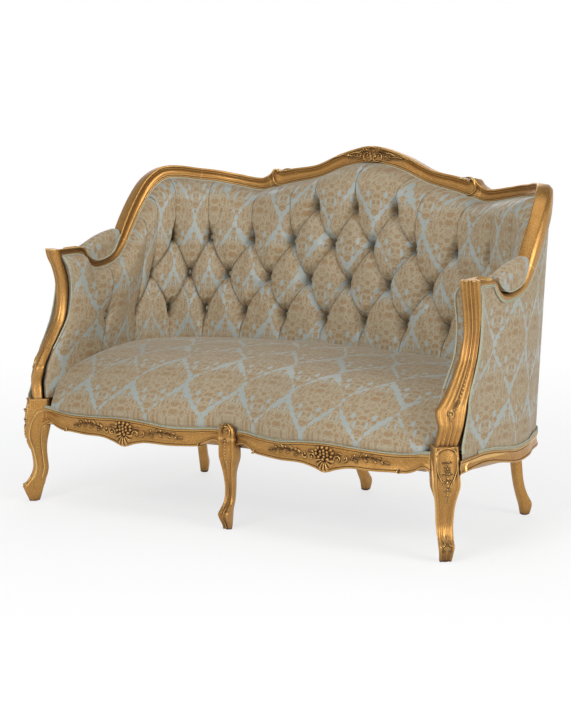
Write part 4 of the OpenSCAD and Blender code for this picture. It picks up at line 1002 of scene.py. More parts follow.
class BuildHiddenFrame(bpy.types.Operator):
    """Finishes of the beech frame, the webbing and the glides, and the two stretched bottom cloths"""

    bl_idname = "sofa.hidden_frame"
    bl_label = "Hidden frame"

    def execute(self, context):
        wooden = ["back_rail_left", "back_rail_right", "cross_rail", "front_corner_blocks",
                  "rear_corner_blocks", "back_tack_boards", "arm_tack_boards"]
        woven = ["webbing_long", "webbing_cross"]
        for finish, names in ((beech, wooden), (jute, woven), (nylon, ["foot_glides"])):
            for name in names:
                NODES[name].data.materials.clear()
                NODES[name].data.materials.append(finish())
        lining = piece_of_cloth(SEAT_RAIL_FOOT_Z - 0.9, 36, 10, 640)
        self.floor_cloth("tacked_dust_cover", lining, 640, black_cotton(), "lining", "dust_cover")
        base = piece_of_cloth(LEDGE_Z + 5.8, 14, -14, 645)
        self.floor_cloth("stretched_hessian", base, 645, hessian(), "hessian", "seat_hessian")
        return {"FINISHED"}

    def floor_cloth(self, name, top, half, material, slot, node):
        n, m = top.shape[:2]
        flat_top = top.reshape(-1, 3)
        points = np.concatenate([flat_top, flat_top - [0, 0, 1.0]])
        obj = piece(name, points, slab_faces(n, m), material, slot, nodes=[node])


def piece_of_cloth(z, behind, inside, half):
    """Grid of a cloth tacked round the seat frame, which sags a little in the middle."""
    base = [[row[6], row[7]] for row in WRAP[1:13]]
    x = np.linspace(-half, half, 71)[:, None]
    t = np.linspace(0, 1, 31)[None, :]
    back = smooth(base, np.abs(x))[..., 1] + inside
    y = lerp(front_face_y(x) + behind, back, t)
    sag = -1.2 * np.sin(math.pi * t) * np.cos(x / half * math.pi / 2)
    return np.stack([x + 0 * t, y, z + sag], -1)


def slab_faces(n, m):
    """Closed slab between two grids of n by m points, the second behind the first."""
    front = grid_faces(n, m)
    behind = [[i + n * m for i in face[::-1]] for face in front]
    rim = [i * m for i in range(n)] + [(n - 1) * m + j for j in range(1, m)]
    rim += [i * m + m - 1 for i in range(n - 2, -1, -1)] + list(range(m - 2, 0, -1))
    walls = [[a, b, b + n * m, a + n * m] for a, b in zip(rim, rim[1:] + rim[:1])]
    return front + behind + walls


class BuildInsideCover(bpy.types.Operator):
    """Deep-buttoned cover and stuffing of the inside back and arms, in one wrap"""

    bl_idname = "sofa.inside_cover"
    bl_label = "Buttoned inside back and arms"
    # Heights where the cover ends under the seat, and where it comes up out of it
    foot_z, seat_line = 312.0, 452.0
    # Columns along the run, and how many more turn in at each end
    columns, turned_in = 681, 7

    def execute(self, context):
        cloth = settings("cloth")
        run = even_ends(np.linspace(-RAIL_END, RAIL_END, self.columns))
        # The added columns turn the cover in behind the arm post
        more = self.turned_in
        s = np.concatenate([np.full(more, -RAIL_END), run, np.full(more, RAIL_END)])
        grown = np.arange(more) / more
        kept = np.concatenate([grown, np.ones(len(run)), grown[::-1]])[:, None]
        a = np.abs(s)
        edge = edge_at(a)[:, 2:]
        under_seat = lerp(self.foot_z, self.seat_line, np.array([0, 0.3, 0.65])) + 0 * edge
        up = np.concatenate([under_seat, lerp(self.seat_line, edge, np.arange(1, 128) / 127)], 1)
        s2 = s[:, None] + 0 * up
        a2 = np.abs(s2)
        level = np.maximum(up, 440)
        puff, pleat, button = tufting(s2, level)
        full, flush, rim = pad_thickness(a2, level)
        depth = pit_depth(a2) * ease((RAIL_END - a2) / 50)
        # The stuffing isn't even, so the puffs differ by a millimetre or two
        uneven = 1.6 * np.sin(s2 / 47) * np.sin(level / 39 + s2 / 160)
        swell = SWELL * ease((RAIL_END - a2) / 60)
        thick = lerp(flush, full + swell + uneven * swell / SWELL - depth * (1 - puff), rim)
        thick = lerp(COVER_Q + 0.5, thick, np.sin(kept * math.pi / 2))
        front = mirror_x(s2, forward(a2, skin(a2, level, thick), up))
        n, m = up.shape
        points = np.concatenate([front.reshape(-1, 3), self.line_behind(run).reshape(-1, 3)])
        # The cover takes more cloth than the frame line is long, so the pattern runs closer on the puffs
        uv = np.stack([s2 * 1.02 + np.sign(s2) * (1 - kept) * 34, up + 20], -1).reshape(-1, 2) * MM
        uv = np.concatenate([uv, np.zeros((2 * n, 2))])
        names = ["inside_back", "inside_arm_left", "inside_arm_right"]
        obj = piece("buttoned_inside_cover", points, self.faces(n, m), damask(), "damask", uv, 85, names)
        # Painted shade: how far the cloth is darkened, in the pits and along the pleats
        pit = np.clip(1.25 * (1 - puff) - 0.2, 0, 1)
        folds = np.maximum(pit, 0.8 * np.exp(-((pleat / 2.6) ** 2)))
        shade_folds(obj, np.concatenate([folds.ravel(), np.zeros(2 * n)]))
        held = np.where((button < 9) | (pleat < 2.5), 1.0, 0.0)
        held[:, :4] = held[:, -2:] = 1
        held[:9] = held[-9:] = 1
        puff_up(obj, np.concatenate([held.ravel(), np.ones(2 * n)]), 3.5, cloth.puff_cap, 16)
        return {"FINISHED"}

    def line_behind(self, run):
        """Lower and upper line of the cover's back, which stay back from the bow of the arm post."""
        drawn = run * (1 - 0.07 * (np.abs(run) / RAIL_END) ** 8)
        more = np.arange(1, self.turned_in + 1) / 2
        drawn = np.concatenate([drawn[0] - more[::-1], drawn, drawn[-1] + more])
        top = edge_at(np.abs(drawn))[:, 2] - 1
        lines = [cover_point(drawn, z, COVER_Q) for z in (np.full_like(drawn, self.foot_z), top)]
        return np.stack(lines, 1)

    def faces(self, n, m):
        """Closes the front grid of n by m points over the two lines behind it."""
        tail = n * m
        faces = grid_faces(n, m) + [face[::-1] for face in grid_faces(n, 2, tail)]
        for i in range(n - 1):
            faces.append([(i + 1) * m, i * m, tail + i * 2, tail + i * 2 + 2])
            faces.append([i * m + m - 1, (i + 1) * m + m - 1, tail + i * 2 + 3, tail + i * 2 + 1])
        faces.append(list(range(m)) + [tail + 1, tail])
        faces.append(list(range(tail - 1, tail - m - 1, -1)) + [tail + 2 * n - 2, tail + 2 * n - 1])
        return faces


def even_ends(s):
    """Draws the outer columns of a cover closer together, where it rolls over at its ends."""
    start = 1200
    far = np.clip((np.abs(s) - start) / (RAIL_END - start), 0, 1)
    drawn = start + (RAIL_END - start) * (1 - (1 - far) ** 1.7)
    return np.sign(s) * np.where(far > 0, drawn, np.abs(s))


def pit_depth(a):
    """Depth of a button under the crowns, less in the thinner arms."""
    return settings("cloth").tuft_depth / MM * lerp(1, 0.42, ease((a - 700) / 280))


def shade_folds(obj, depth):
    """Keeps how deep a point lies in the folds, where the material paints shade on the cloth."""
    layer = obj.data.attributes.new("fold_shade", "FLOAT", "POINT")
    layer.data.foreach_set("value", np.clip(depth, 0, 1).astype(np.float32))


def seat_top(x, y):
    rise = smooth(SEAT_RISE, np.maximum(0, y - front_face_y(x)))[..., 1]
    return SEAT_Z + rise - SEAT_FALL * (x / 680) ** 2


class BuildSeat(bpy.types.Operator):
    """Tight crowned seat over its stuffing, rolled over the front rails"""

    bl_idname = "sofa.seat"
    bl_label = "Seat"

    def execute(self, context):
        # Round the seat: along the front rails by X, then along the pads by run, from arm to arm
        xs = np.linspace(69 - FOOT_X, FOOT_X - 69, 200)
        runs = np.linspace(1245, 4, 180)
        value = np.concatenate([xs, runs, -runs[::-1]])
        is_front = np.arange(len(value)) < len(xs)

        def ring(ahead, z):
            """Outline of the seat at a height: behind the rails' face in front, along the pads elsewhere."""
            z = z + 0 * value
            front = np.stack([value, front_face_y(value) + ahead, z], -1)
            a, level = np.where(is_front, 500, np.abs(value)), np.maximum(z, 458)
            full = pad_thickness(a, level)[0]
            side = mirror_x(value, forward(a, skin(a, level, full - 6), z))
            return np.where(is_front[:, None], front, side)

        def toward(p, k):
            return np.stack([lerp(p[:, 0], p[:, 0] * 0.5, k), lerp(p[:, 1], -60, k), p[:, 2]], -1)

        # It stays behind the crest of the centre leg
        behind_crest = np.where(np.abs(value) < 34, 13.5, 0)
        lip = np.where(is_front, lip_top(value), 300)
        base = ring(np.maximum(4, behind_crest), 400)
        top = seat_top(base[:, 0], base[:, 1]) - 4
        under = LEDGE_Z + 9.0
        # Up behind the rails, and out over their lip
        rings = [toward(ring(13.4, under), 0.02), ring(13.2, under + 4), ring(13.2, lip + 1)]
        for k, bulge in ((0.05, 8), (0.14, 2), (0.3, -3), (0.5, -6), (0.7, -5), (0.85, -1)):
            rings.append(ring(np.maximum(bulge, behind_crest * (k < 0.2)), lerp(lip + 3, top, k)))
        # Over the crown, toward its middle
        start = ring(4.0, 400)
        for k in (0.012, *np.linspace(0.03, 0.97, 40)):
            p = toward(start, k)
            rolled = np.where(is_front, 6 * (1 - k) ** 14, -10 * (1 - k) ** 16)
            rings.append(np.stack([p[:, 0], p[:, 1], seat_top(p[:, 0], p[:, 1]) + rolled], -1))
        shell = piece("seat_shell", *loft(rings), damask(), "damask")
        mesh = self.remeshed(shell)
        co = np.empty(len(mesh.vertices) * 3)
        mesh.vertices.foreach_get("co", co)
        co = co.reshape(-1, 3) / MM
        polygons = [list(p.vertices) for p in mesh.polygons]
        bpy.data.objects.remove(shell)
        obj = piece("crowned_seat", co, polygons, damask(), "damask", self.lay(co), nodes=["seat"])
        low = co[:, 2] < np.maximum(lip_top(co[:, 0]) + 4, 296)
        away = co[:, 1] > front_face_y(co[:, 0]) + 30
        puff_up(obj, np.where(low | (away & (co[:, 2] < 400)), 1.0, 0.0), 2.2, 0.005, 14)
        return {"FINISHED"}

    def remeshed(self, obj):
        step = obj.modifiers.new("Even mesh", "REMESH")
        step.mode = "VOXEL"
        step.voxel_size = 0.0062
        step.use_smooth_shade = True
        calm = obj.modifiers.new("Calm", "SMOOTH")
        calm.factor, calm.iterations = 0.5, 6
        graph = bpy.context.evaluated_depsgraph_get()
        return bpy.data.meshes.new_from_object(obj.evaluated_get(graph))

    def lay(self, co):
        """Lays the cloth over the seat: across by X, and from the lip backward along the seat's own curve."""
        back = np.linspace(0, 700, 351)
        rise = smooth(SEAT_RISE, back)[:, 1]
        arc = np.concatenate([[0], np.cumsum(np.hypot(np.diff(back), np.diff(rise)))])
        far = np.maximum(co[:, 1] - front_face_y(co[:, 0]), 0)
        drop = np.maximum(seat_top(co[:, 0], co[:, 1]) - co[:, 2] - 12, 0)
        return np.stack([co[:, 0], np.interp(far, back, arc) - drop + 12], -1) * MM


class BuildArmPads(bpy.types.Operator):
    """Padded rests that lie in the scoops of the arm rails"""

    bl_idname = "sofa.arm_pads"
    bl_label = "Arm pads"

    def execute(self, context):
        runs = np.linspace(ARM_START + GAP, PAD_END, 64)
        base = top_at(runs) + (wrap(runs)[:, 5:6] / 2 + GAP) * rail_up(runs)
        t = (base[0, 1] - base[:, 1]) / (base[0, 1] - base[-1, 1])
        crown = lerp(base[0, 2] + 20, base[-1, 2] + 12, t) + 8 * np.sin(math.pi * t)
        turn = np.linspace(math.pi, 0, 21)
        # A superellipse: full at the shoulders, and flat where it rests on the rail
        wide = np.sign(np.cos(turn)) * np.abs(np.cos(turn)) ** 0.72
        high = np.abs(np.sin(turn)) ** 0.62
        around = np.concatenate([np.linspace(-45, 45, 21), [50, -50]])
        rings, uv = [], []
        for i, b in enumerate(base):
            half = RAIL_T / 2 - 1 + 4 * math.sin(math.pi * t[i])
            ends = min(1.0, (i + 1) / 4, (len(base) - i) / 3) ** 0.5
            across, up = wide * half * lerp(0.86, 1, ends), high * (crown[i] - b[2]) * lerp(0.8, 1, ends)
            ring = [[b[0] + x, b[1], b[2] + z] for x, z in zip(across, up)]
            rings.append(ring + [[b[0] + half * k, b[1], b[2] - 0.1] for k in (0.7, -0.7)])
            uv.append(np.stack([around * 1.1, np.full(23, -runs[i])], -1) * MM)
        rings = np.array(rings)
        more = {"cloth": np.concatenate(uv), "nodes": ["arm_pad"], "sharp": 62}
        pads = pair("padded_arm", *loft(rings), damask(), "damask", **more)
        hold = np.zeros(rings.shape[:2])
        hold[:, [0, 1, 19, 20, 21, 22]] = 1
        for pad in pads:
            puff_up(pad, hold.ravel(), 3.0, 0.004, 12)
        for hand, sign in HANDS:
            lines = [rings[:, k] * [sign, 1, 1] + [0, 0, 1.5] for k in (0, 20)]
            cords(f"piping_arm_pad_{hand}", lines)
        return {"FINISHED"}


class BuildOutsideCovers(bpy.types.Operator):
    """Stretched damask covers of the outside back and arms"""

    bl_idname = "sofa.outside_covers"
    bl_label = "Outside covers"

    def execute(self, context):
        split = run_of(4.75)
        s = np.linspace(-split, split, 190)
        self.cover("outside_back_cover", s, ["outside_back"], ["back_tack_boards", "back_rail_left"])
        s = np.linspace(split + 0.6, RAIL_END, 80)
        for hand, sign in reversed(HANDS):
            self.cover(f"outside_arm_cover_{hand}", s * sign, [f"outside_arm_{hand}"], ["arm_tack_boards"])
        return {"FINISHED"}

    def cover(self, name, s, nodes, rests_on):
        edge = edge_at(np.abs(s))[:, 2]
        k = np.linspace(0, 1, 70)[None, :]
        z = lerp(LEDGE_Z + GAP, edge[:, None], k)
        s2 = s[:, None] + 0 * z
        # Drawn in slightly between its tacked edges
        slack = 0.6 * np.sin(math.pi * k) * np.cos(s2 / 31) * np.cos(z / 53)
        outer, inner = (cover_point(s2, z, slack - q) for q in (COVER_Q + 1.6, COVER_Q))
        uv = np.stack([s2, z], -1).reshape(-1, 2) * MM
        points = np.concatenate([outer.reshape(-1, 3), inner.reshape(-1, 3)])
        uv = np.concatenate([uv, uv])
        obj = piece(name, points, slab_faces(*z.shape), damask(), "damask", uv, nodes=nodes)


def shape_tree(name, sockets, build):
    """A Geometry Nodes tree with named inputs, of one material. build makes its shape from these inputs."""
    tree = bpy.data.node_groups.get(name)
    if tree:
        return tree
    tree = bpy.data.node_groups.new(name, "GeometryNodeTree")
    tree.interface.new_socket("Geometry", in_out="INPUT", socket_type="NodeSocketGeometry")
    for label, kind, value in (*sockets, ("Cover", "Material", None)):
        socket = tree.interface.new_socket(label, in_out="INPUT", socket_type="NodeSocket" + kind)
        if value is not None:
            socket.default_value = value
    tree.interface.new_socket("Geometry", in_out="OUTPUT", socket_type="NodeSocketGeometry")
    given = add(tree, "NodeGroupInput").outputs
    solid = add(tree, "GeometryNodeRealizeInstances", (build(tree, given),))
    done = add(tree, "GeometryNodeSetMaterial", {"Geometry": solid, "Material": given["Cover"]})
    add(tree, "NodeGroupOutput", (done,))
    return tree


def cord_tree():
    """Geometry Nodes: a round cord along each line of edges."""

    def build(tree, given):
        radius = calc(tree, "MULTIPLY", given["Diameter"], 0.5)
        line = add(tree, "GeometryNodeMeshToCurve", (given["Geometry"],))
        ring = add(tree, "GeometryNodeCurvePrimitiveCircle", {"Resolution": given["Sides"], "Radius": radius})
        tube = add(tree, "GeometryNodeCurveToMesh", {"Curve": line, "Profile Curve": ring, "Fill Caps": True})
        return add(tree, "GeometryNodeSetShadeSmooth", (tube,))

    return shape_tree("Cord along a line", [("Diameter", "Float", 0.005), ("Sides", "Int", 8)], build)


def button_tree():
    """Geometry Nodes: a domed button on each point, turned to the point's normal."""

    def build(tree, given):
        radius = calc(tree, "MULTIPLY", given["Diameter"], 0.5)
        ball = add(tree, "GeometryNodeMeshUVSphere", {"Segments": 20, "Rings": 12, "Radius": radius})
        flat = add(tree, "ShaderNodeCombineXYZ", (1.0, 1.0, given["Dome"]))
        dome = add(tree, "GeometryNodeTransform", {"Geometry": ball, "Scale": flat})
        dome = add(tree, "GeometryNodeSetShadeSmooth", (dome,))
        way = {"Name": "normal_out"}
        way = add(tree, "GeometryNodeInputNamedAttribute", way, data_type="FLOAT_VECTOR")
        turn = add(tree, "FunctionNodeAlignRotationToVector", {"Vector": way}, axis="Z")
        spots = add(tree, "GeometryNodeMeshToPoints", {"Mesh": given["Geometry"], "Radius": 0.001})
        placed = {"Points": spots, "Instance": dome, "Rotation": turn}
        return add(tree, "GeometryNodeInstanceOnPoints", placed)

    return shape_tree("Buttons on points", [("Diameter", "Float", 0.018), ("Dome", "Float", 0.45)], build)


def baked(name, source, tree, inputs, slot, nodes=()):
    """Runs a tree on a source mesh and keeps the result as a plain piece."""
    holder = bpy.data.objects.new(name + "_source", source)
    bpy.context.scene.collection.objects.link(holder)
    maker = holder.modifiers.new(tree.name, "NODES")
    maker.node_group = tree
    for socket in tree.interface.items_tree:
        if socket.item_type == "SOCKET" and socket.in_out == "INPUT" and socket.name in inputs:
            maker[socket.identifier] = inputs[socket.name]
    graph = bpy.context.evaluated_depsgraph_get()
    mesh = bpy.data.meshes.new_from_object(holder.evaluated_get(graph))
    bpy.data.objects.remove(holder)
    mesh.name = name
    return enrol(name, mesh, slot, nodes)


def cords(name, lines):
    """Round cords along lines of points in millimetres."""
    points, edges = [], []
    for line in lines:
        first = len(points)
        points += (np.asarray(line, float) * MM).tolist()
        edges += [(i, i + 1) for i in range(first, len(points) - 1)]
    mesh = bpy.data.meshes.new(name)
    mesh.from_pydata(points, edges, [])
    inputs = {"Diameter": settings("cloth").cord_d, "Sides": 10, "Cover": piping_cord()}
    return baked(name, mesh, cord_tree(), inputs, "damask")


def side_by_side(line, normal, diameter):
    """Two lines that lie side by side on a surface, half a cord to each side of the given one."""
    across = unit(np.cross(normal, np.gradient(line, axis=0)))
    return [line + across * diameter * k + normal * diameter * 0.3 for k in (-0.48, 0.48)]


class BuildPiping(bpy.types.Operator):
    """Double piping that hides the tacked edges of the covers along the wood"""

    bl_idname = "sofa.piping"
    bl_label = "Double piping"
    # Distance of the cords from the middle of the rail, inside and outside, and how far they lie under it
    inner, outer, under = 21.5, 16.5, 2.5

    def execute(self, context):
        d = settings("cloth").cord_d / MM
        s = np.linspace(-RAIL_END + 4, RAIL_END - 4, 620)
        a = np.abs(s)
        edge, out = edge_at(a), facing(wrap(a)[:, 4])
        n = mirror_x(s, out)
        line = mirror_x(s, forward(a, edge + self.inner * out, edge[:, 2] - self.under))
        cords("piping_inside_top", side_by_side(line, n, d))
        plain = mirror_x(s, edge - self.outer * out) - [0, 0, self.under]
        drawn = mirror_x(s, forward(a, edge - self.outer * out, edge[:, 2] - self.under))
        cords("piping_outside_top", side_by_side(np.where(a[:, None] > 1240, drawn, plain), -n, d))
        x = np.linspace(RAIL_FROM + 3, RAIL_TO - 3, 160)
        lip = np.stack([x, front_face_y(x) + 8, lip_top(x) + 2.2], -1)
        up = unit(np.array([0, -0.75, 0.65]) + 0 * lip)
        post_top = float(edge_at(RAIL_END)[2]) - 3
        inside = self.post_line(np.linspace(452, post_top, 70), True)
        outside = self.post_line(np.linspace(290, post_top, 90), False)
        s = np.linspace(RAIL_END - 40, REAR_LEG_RUN + LEG_HALF + 4, 160)
        side = skin(s, smooth(SIDE_RAIL, s)[:, 2] + 3, np.full_like(s, -self.outer))
        runs = {
            "front_rail": (lip, up),
            "post_inside": (inside, [-1, 0, 0] + 0 * inside),
            "post_outside": (outside, [1, 0, 0] + 0 * outside),
            "side_rail": (side, -facing(wrap(s)[:, 4])),
        }
        for hand, sign in HANDS:
            for name, (line, normal) in runs.items():
                lines = [cord * [sign, 1, 1] for cord in side_by_side(line, normal, d)]
                cords(f"piping_{name}_{hand}", lines)
        return {"FINISHED"}

    def post_line(self, z, inside):
        """Line up the back of the arm post, along the inside pad or the outside cover."""
        run = np.full_like(z, RAIL_END - 3.0)
        full, flush, rim = pad_thickness(run, z)
        proud = lerp(flush, full, rim) + 1.5 if inside else np.full_like(z, -16.0)
        return forward(run, skin(run, z, proud), z)


class BuildButtons(bpy.types.Operator):
    """Covered buttons, one sunk in each pit"""

    bl_idname = "sofa.buttons"
    bl_label = "Covered buttons"

    def execute(self, context):
        s, z = np.array(list(BUTTONS.values()), float).T
        a = np.abs(s)
        full, flush, rim = pad_thickness(a, z)
        thick = lerp(flush, full + SWELL - pit_depth(a), rim) + 3.5
        spot = mirror_x(s, forward(a, skin(a, z, thick), z))
        mesh = bpy.data.meshes.new("button_spots")
        mesh.from_pydata((spot * MM).tolist(), [], [])
        normal = mesh.attributes.new("normal_out", "FLOAT_VECTOR", "POINT")
        normal.data.foreach_set("vector", mirror_x(s, facing(wrap(a)[:, 4])).ravel())
        # Too small a piece of the cloth to show its pattern
        cover = plain_finish("Button damask", "#A39A7C", "#7E7659", 300, roughness=0.55, bump=0.35)
        inputs = {"Diameter": settings("cloth").button_d, "Dome": 0.5, "Cover": cover}
        baked("covered_buttons", mesh, button_tree(), inputs, "damask", ["back_buttons"])
        return {"FINISHED"}


class BuildStage(bpy.types.Operator):
    """Pale floor, soft light and the camera"""

    bl_idname = "sofa.stage"
    bl_label = "Floor, light and camera"
    # [turn from the camera, elevation, distance, size, power]
    lamps = {
        "front softbox": (-0.45, 0.5, 5.2, 2.6, 128),
        "right softbox": (0.8, 0.35, 5.0, 2.2, 105),
        "top softbox": (0, 1.35, 4.2, 2.6, 30),
        "back softbox": (math.pi, 0.6, 5.2, 3.0, 60),
    }

    def execute(self, context):
        view = settings("view")
        scene = context.scene
        scene.view_settings.view_transform = "Standard"
        corners = [(-14, -14, 0), (14, -14, 0), (14, 14, 0), (-14, 14, 0)]
        mesh = bpy.data.meshes.new("floor")
        mesh.from_pydata(corners, [], [(0, 1, 2, 3)])
        mesh.materials.append(self.floor_paint())
        floor = bpy.data.objects.new("floor", mesh)
        scene.collection.objects.link(floor)
        self.world(scene)
        camera = bpy.data.cameras.new("camera")
        camera.sensor_fit, camera.sensor_height, camera.sensor_width = "VERTICAL", 36, 36
        # 2553 pixels of focal length in a picture 707 pixels high
        camera.lens = 36 * 2553.3 / 707
        camera.clip_end = 100
        scene.camera = self.aimed(camera, view.azimuth, view.elevation, view.distance)
        for name, (turn, elevation, distance, size, power) in self.lamps.items():
            light = bpy.data.lights.new(name, "AREA")
            light.size, light.energy = size, power
            self.aimed(light, view.azimuth + turn, elevation, distance)
        return {"FINISHED"}

    def aimed(self, data, azimuth, elevation, distance):
        """Camera or lamp that looks at the view's target from a direction."""
        level = math.cos(elevation)
        away = Vector((math.sin(azimuth) * level, -math.cos(azimuth) * level, math.sin(elevation)))
        holder = bpy.data.objects.new(data.name, data)
        holder.location = Vector(settings("view").target) + away * distance
        holder.rotation_euler = away.to_track_quat("Z", "Y").to_euler()
        bpy.context.scene.collection.objects.link(holder)
        return holder

    def seen(self, tree):
        """1 for rays that come straight from the camera, or by a reflection or a transparent piece."""
        path = add(tree, "ShaderNodeLightPath").outputs
        seen = calc(tree, "MAXIMUM", path["Is Camera Ray"], path["Is Glossy Ray"])
        return calc(tree, "MAXIMUM", seen, path["Is Transmission Ray"])

    def floor_paint(self):
        material, t = new_material("Pale floor paint")
        if t is None:
            return material
        place = add(t, "ShaderNodeTexCoord").outputs["Object"]
        grain = add(t, "ShaderNodeTexNoise", {"Vector": place, "Scale": 60, "Detail": 3})
        tint = add(t, MIX, (grain, linear("#F4F4F3"), linear("#FAFAF9")))
        paint = add(t, "ShaderNodeBsdfDiffuse", (tint,))
        glow = add(t, "ShaderNodeEmission", {"Color": (1, 1, 1, 1), "Strength": 1.0})
        # The floor runs out into plain white a few metres from the sofa
        far = add(t, "ShaderNodeVectorMath", (place,), operation="LENGTH").outputs["Value"]
        share = calc(t, "MULTIPLY", add(t, RANGE, (far, 0.8, 3.2, 0.72, 1)), self.seen(t))
        add(t, "ShaderNodeOutputMaterial", (add(t, "ShaderNodeMixShader", (share, paint, glow)),))
        return material

    def world(self, scene):
        """White all round at eye level, and darker overhead, which the polished wood shows as depth."""
        world = bpy.data.worlds.new("studio")
        scene.world = world
        world.use_nodes = True
        t = world.node_tree
        t.nodes.clear()
        way = add(t, "ShaderNodeSeparateXYZ", (add(t, "ShaderNodeTexCoord").outputs["Generated"],))
        rise = add(t, RANGE, (way.outputs["Z"], 0.12, 0.75, 1.0, 0.22))
        white = add(t, "ShaderNodeBackground", {"Color": (1, 1, 1, 1), "Strength": rise})
        room = add(t, "ShaderNodeBackground", {"Color": linear("#E9EDF2"), "Strength": 0.36})
        add(t, "ShaderNodeOutputWorld", (add(t, "ShaderNodeMixShader", (self.seen(t), room, white)),))


# Heights that carving is laid from and where a ray for the wood under it ends, in millimetres
LAY_FROM, LAY_REACH = 70, 130
FORWARD = np.array([0.0, -1.0, 0.0])
# Cross-sections of a mark: share of its half width, and height as a share of its rise
ACROSS = [-1, -0.66, -0.34, 0, 0.34, 0.66, 1]
SECTIONS = {
    "leaf": [-0.3, 0.62, 0.78, 0.30, 0.78, 0.62, -0.3],
    "cord": [-0.3, 0.62, 0.92, 1.0, 0.92, 0.62, -0.3],
    "rib": [-0.3, 0.70, 0.95, 1.0, 0.95, 0.70, -0.3],
}


def carve(name, wood, marks, look):
    """Lays carved marks on pieces of wood and joins them into one piece.

    A mark is (kind, place, line, width, rise). place(u, v) gives a point of the layout and the way it faces.
    """
    graph = bpy.context.evaluated_depsgraph_get()
    trees = [BVHTree.FromObject(obj, graph) for obj in wood]
    points, faces = [], []

    def drop(place, u, v):
        """Point of the layout, the way out of it, and how far the wood lies from the start of the ray."""
        spot, out = place(u, v)
        start = Vector(np.asarray(spot) * MM) + Vector(out) * LAY_FROM * MM
        hits = [tree.ray_cast(start, -Vector(out), LAY_REACH * MM) for tree in trees]
        reach = [hit[3] for hit in hits if hit[0]]
        return np.array(spot, float), np.array(out, float), min(reach) if reach else None

    for kind, place, line, width, rise in marks:
        line = np.asarray(line, float)
        if kind == "berry":
            new, more = berry(drop(place, *line), width, rise)
        else:
            new, more = ribbon(kind, place, drop, line, width, rise)
        faces += [[i + len(points) for i in face] for face in more]
        points += new.tolist()
    return piece(name, points, faces, *look)


def on_wood(dropped, depth):
    """Point of the wood under a dropped point, or at a given depth where no wood was found."""
    spot, out, found = dropped
    return spot + out * (LAY_FROM - (depth if found is None else found) / MM)


def berry(dropped, radius, squash):
    """Round bead of a flower or a fruit, a third of it sunk in the wood."""
    out = dropped[1]
    centre = on_wood(dropped, LAY_FROM * MM) + out * radius * 0.25
    side = unit(np.cross([0, 0, 1], out))
    up = np.cross(out, side)
    rings = []
    for a in np.radians([-80, -50, -20, 10, 38, 62, 82]):
        turn = np.arange(10) * math.tau / 10
        r, h = radius * math.cos(a), radius * math.sin(a) * squash
        rings.append(centre + np.outer(np.cos(turn) * r, side) + np.outer(np.sin(turn) * r, up) + out * h)
    return loft(rings)


def half_widths(kind, t):
    if kind == "leaf":
        return np.sin(math.pi * t**0.8) ** 0.75 * (1 + 0.16 * np.sin(t * 31)) + 0.06
    if kind == "rib":
        return lerp(0.3, 1, t) * np.sqrt(1 - np.clip((t - 0.82) / 0.19, 0, 1) ** 2) + 0.04
    rounded = np.sqrt(1 - np.clip((t - 0.9) / 0.11, 0, 1) ** 2) * np.sqrt(np.minimum(t / 0.04, 1))
    return lerp(1, 0.45, t) * rounded + 0.05


def ribbon(kind, place, drop, line, width, rise):
    """Raised stroke along a line of the layout, grooved as a leaf or rounded as a stem."""
    step = np.hypot(*np.diff(line, axis=0).T)
    run = np.concatenate([[0], np.cumsum(step)])
    # Rings 1.7 mm apart
    count = int(np.clip(run[-1] / 1.7, 7, 60))
    t = np.linspace(0, 1, count)
    centre = smooth(np.column_stack([run, line]), t * run[-1])[:, 1:]
    along = np.gradient(centre, axis=0)
    aside = unit(np.stack([-along[:, 1], along[:, 0]], -1))
    wide = half_widths(kind, t) * width
    lift = rise * np.clip(np.sin(math.pi * np.clip(t * 0.86 + 0.09, 0, 1)) * 1.35, 0.25, 1)
    rings = []
    for i in range(count):
        middle = drop(place, *centre[i])
        depth = LAY_FROM * MM if middle[2] is None else middle[2]
        ring = []
        for share, high in zip(ACROSS, SECTIONS[kind]):
            here = drop(place, *(centre[i] + aside[i] * wide[i] * share))
            # Past an edge of the wood the mark stays at the height of its middle
            if here[2] is not None and abs(here[2] - depth) > 9 * MM:
                here = (here[0], here[1], None)
            ring.append(on_wood(here, depth) + here[1] * high * lift[i])
        spot = on_wood(middle, depth)
        for rim in (ring[6], ring[0]):
            ring.append(lerp(spot, rim, 0.5) - middle[1] * 1.6)
        rings.append(ring)
    return loft(rings)


def curl(centre, start, end, r0, r1, count=14):
    """Points of a spiral round a centre, between two angles in degrees and two radii."""
    k = np.linspace(0, 1, count)
    a = np.radians(lerp(start, end, k))
    r = r0 * (r1 / r0) ** k
    return np.stack([centre[0] + r * np.cos(a), centre[1] + r * np.sin(a)], -1)


def laid(place, rise, strokes=(), berries=(), sides=(1,)):
    """Marks from tables, on one side of a layout or mirrored on both.

    Strokes are [kind, half width, share of the rise, line] and berries [across, up, radius].
    """
    marks = []
    for side in sides:
        for kind, width, share, line in strokes:
            marks.append((kind, place, np.asarray(line, float) * [side, 1], width, rise * share))
        marks += [("berry", place, (u * side, v), radius, 1.0) for u, v, radius in berries]
    return marks


def flower(place, u, v, radius, petals, rise):
    marks = []
    for i in range(petals):
        a = math.tau * (i + 0.5) / petals
        ends = [[u + math.cos(a) * radius * k, v + math.sin(a) * radius * k] for k in (0.2, 0.6, 1.0)]
        marks.append(("leaf", place, ends, radius * 0.42, rise))
    return marks + [("berry", place, (u, v), radius * 0.3, 1.0)]


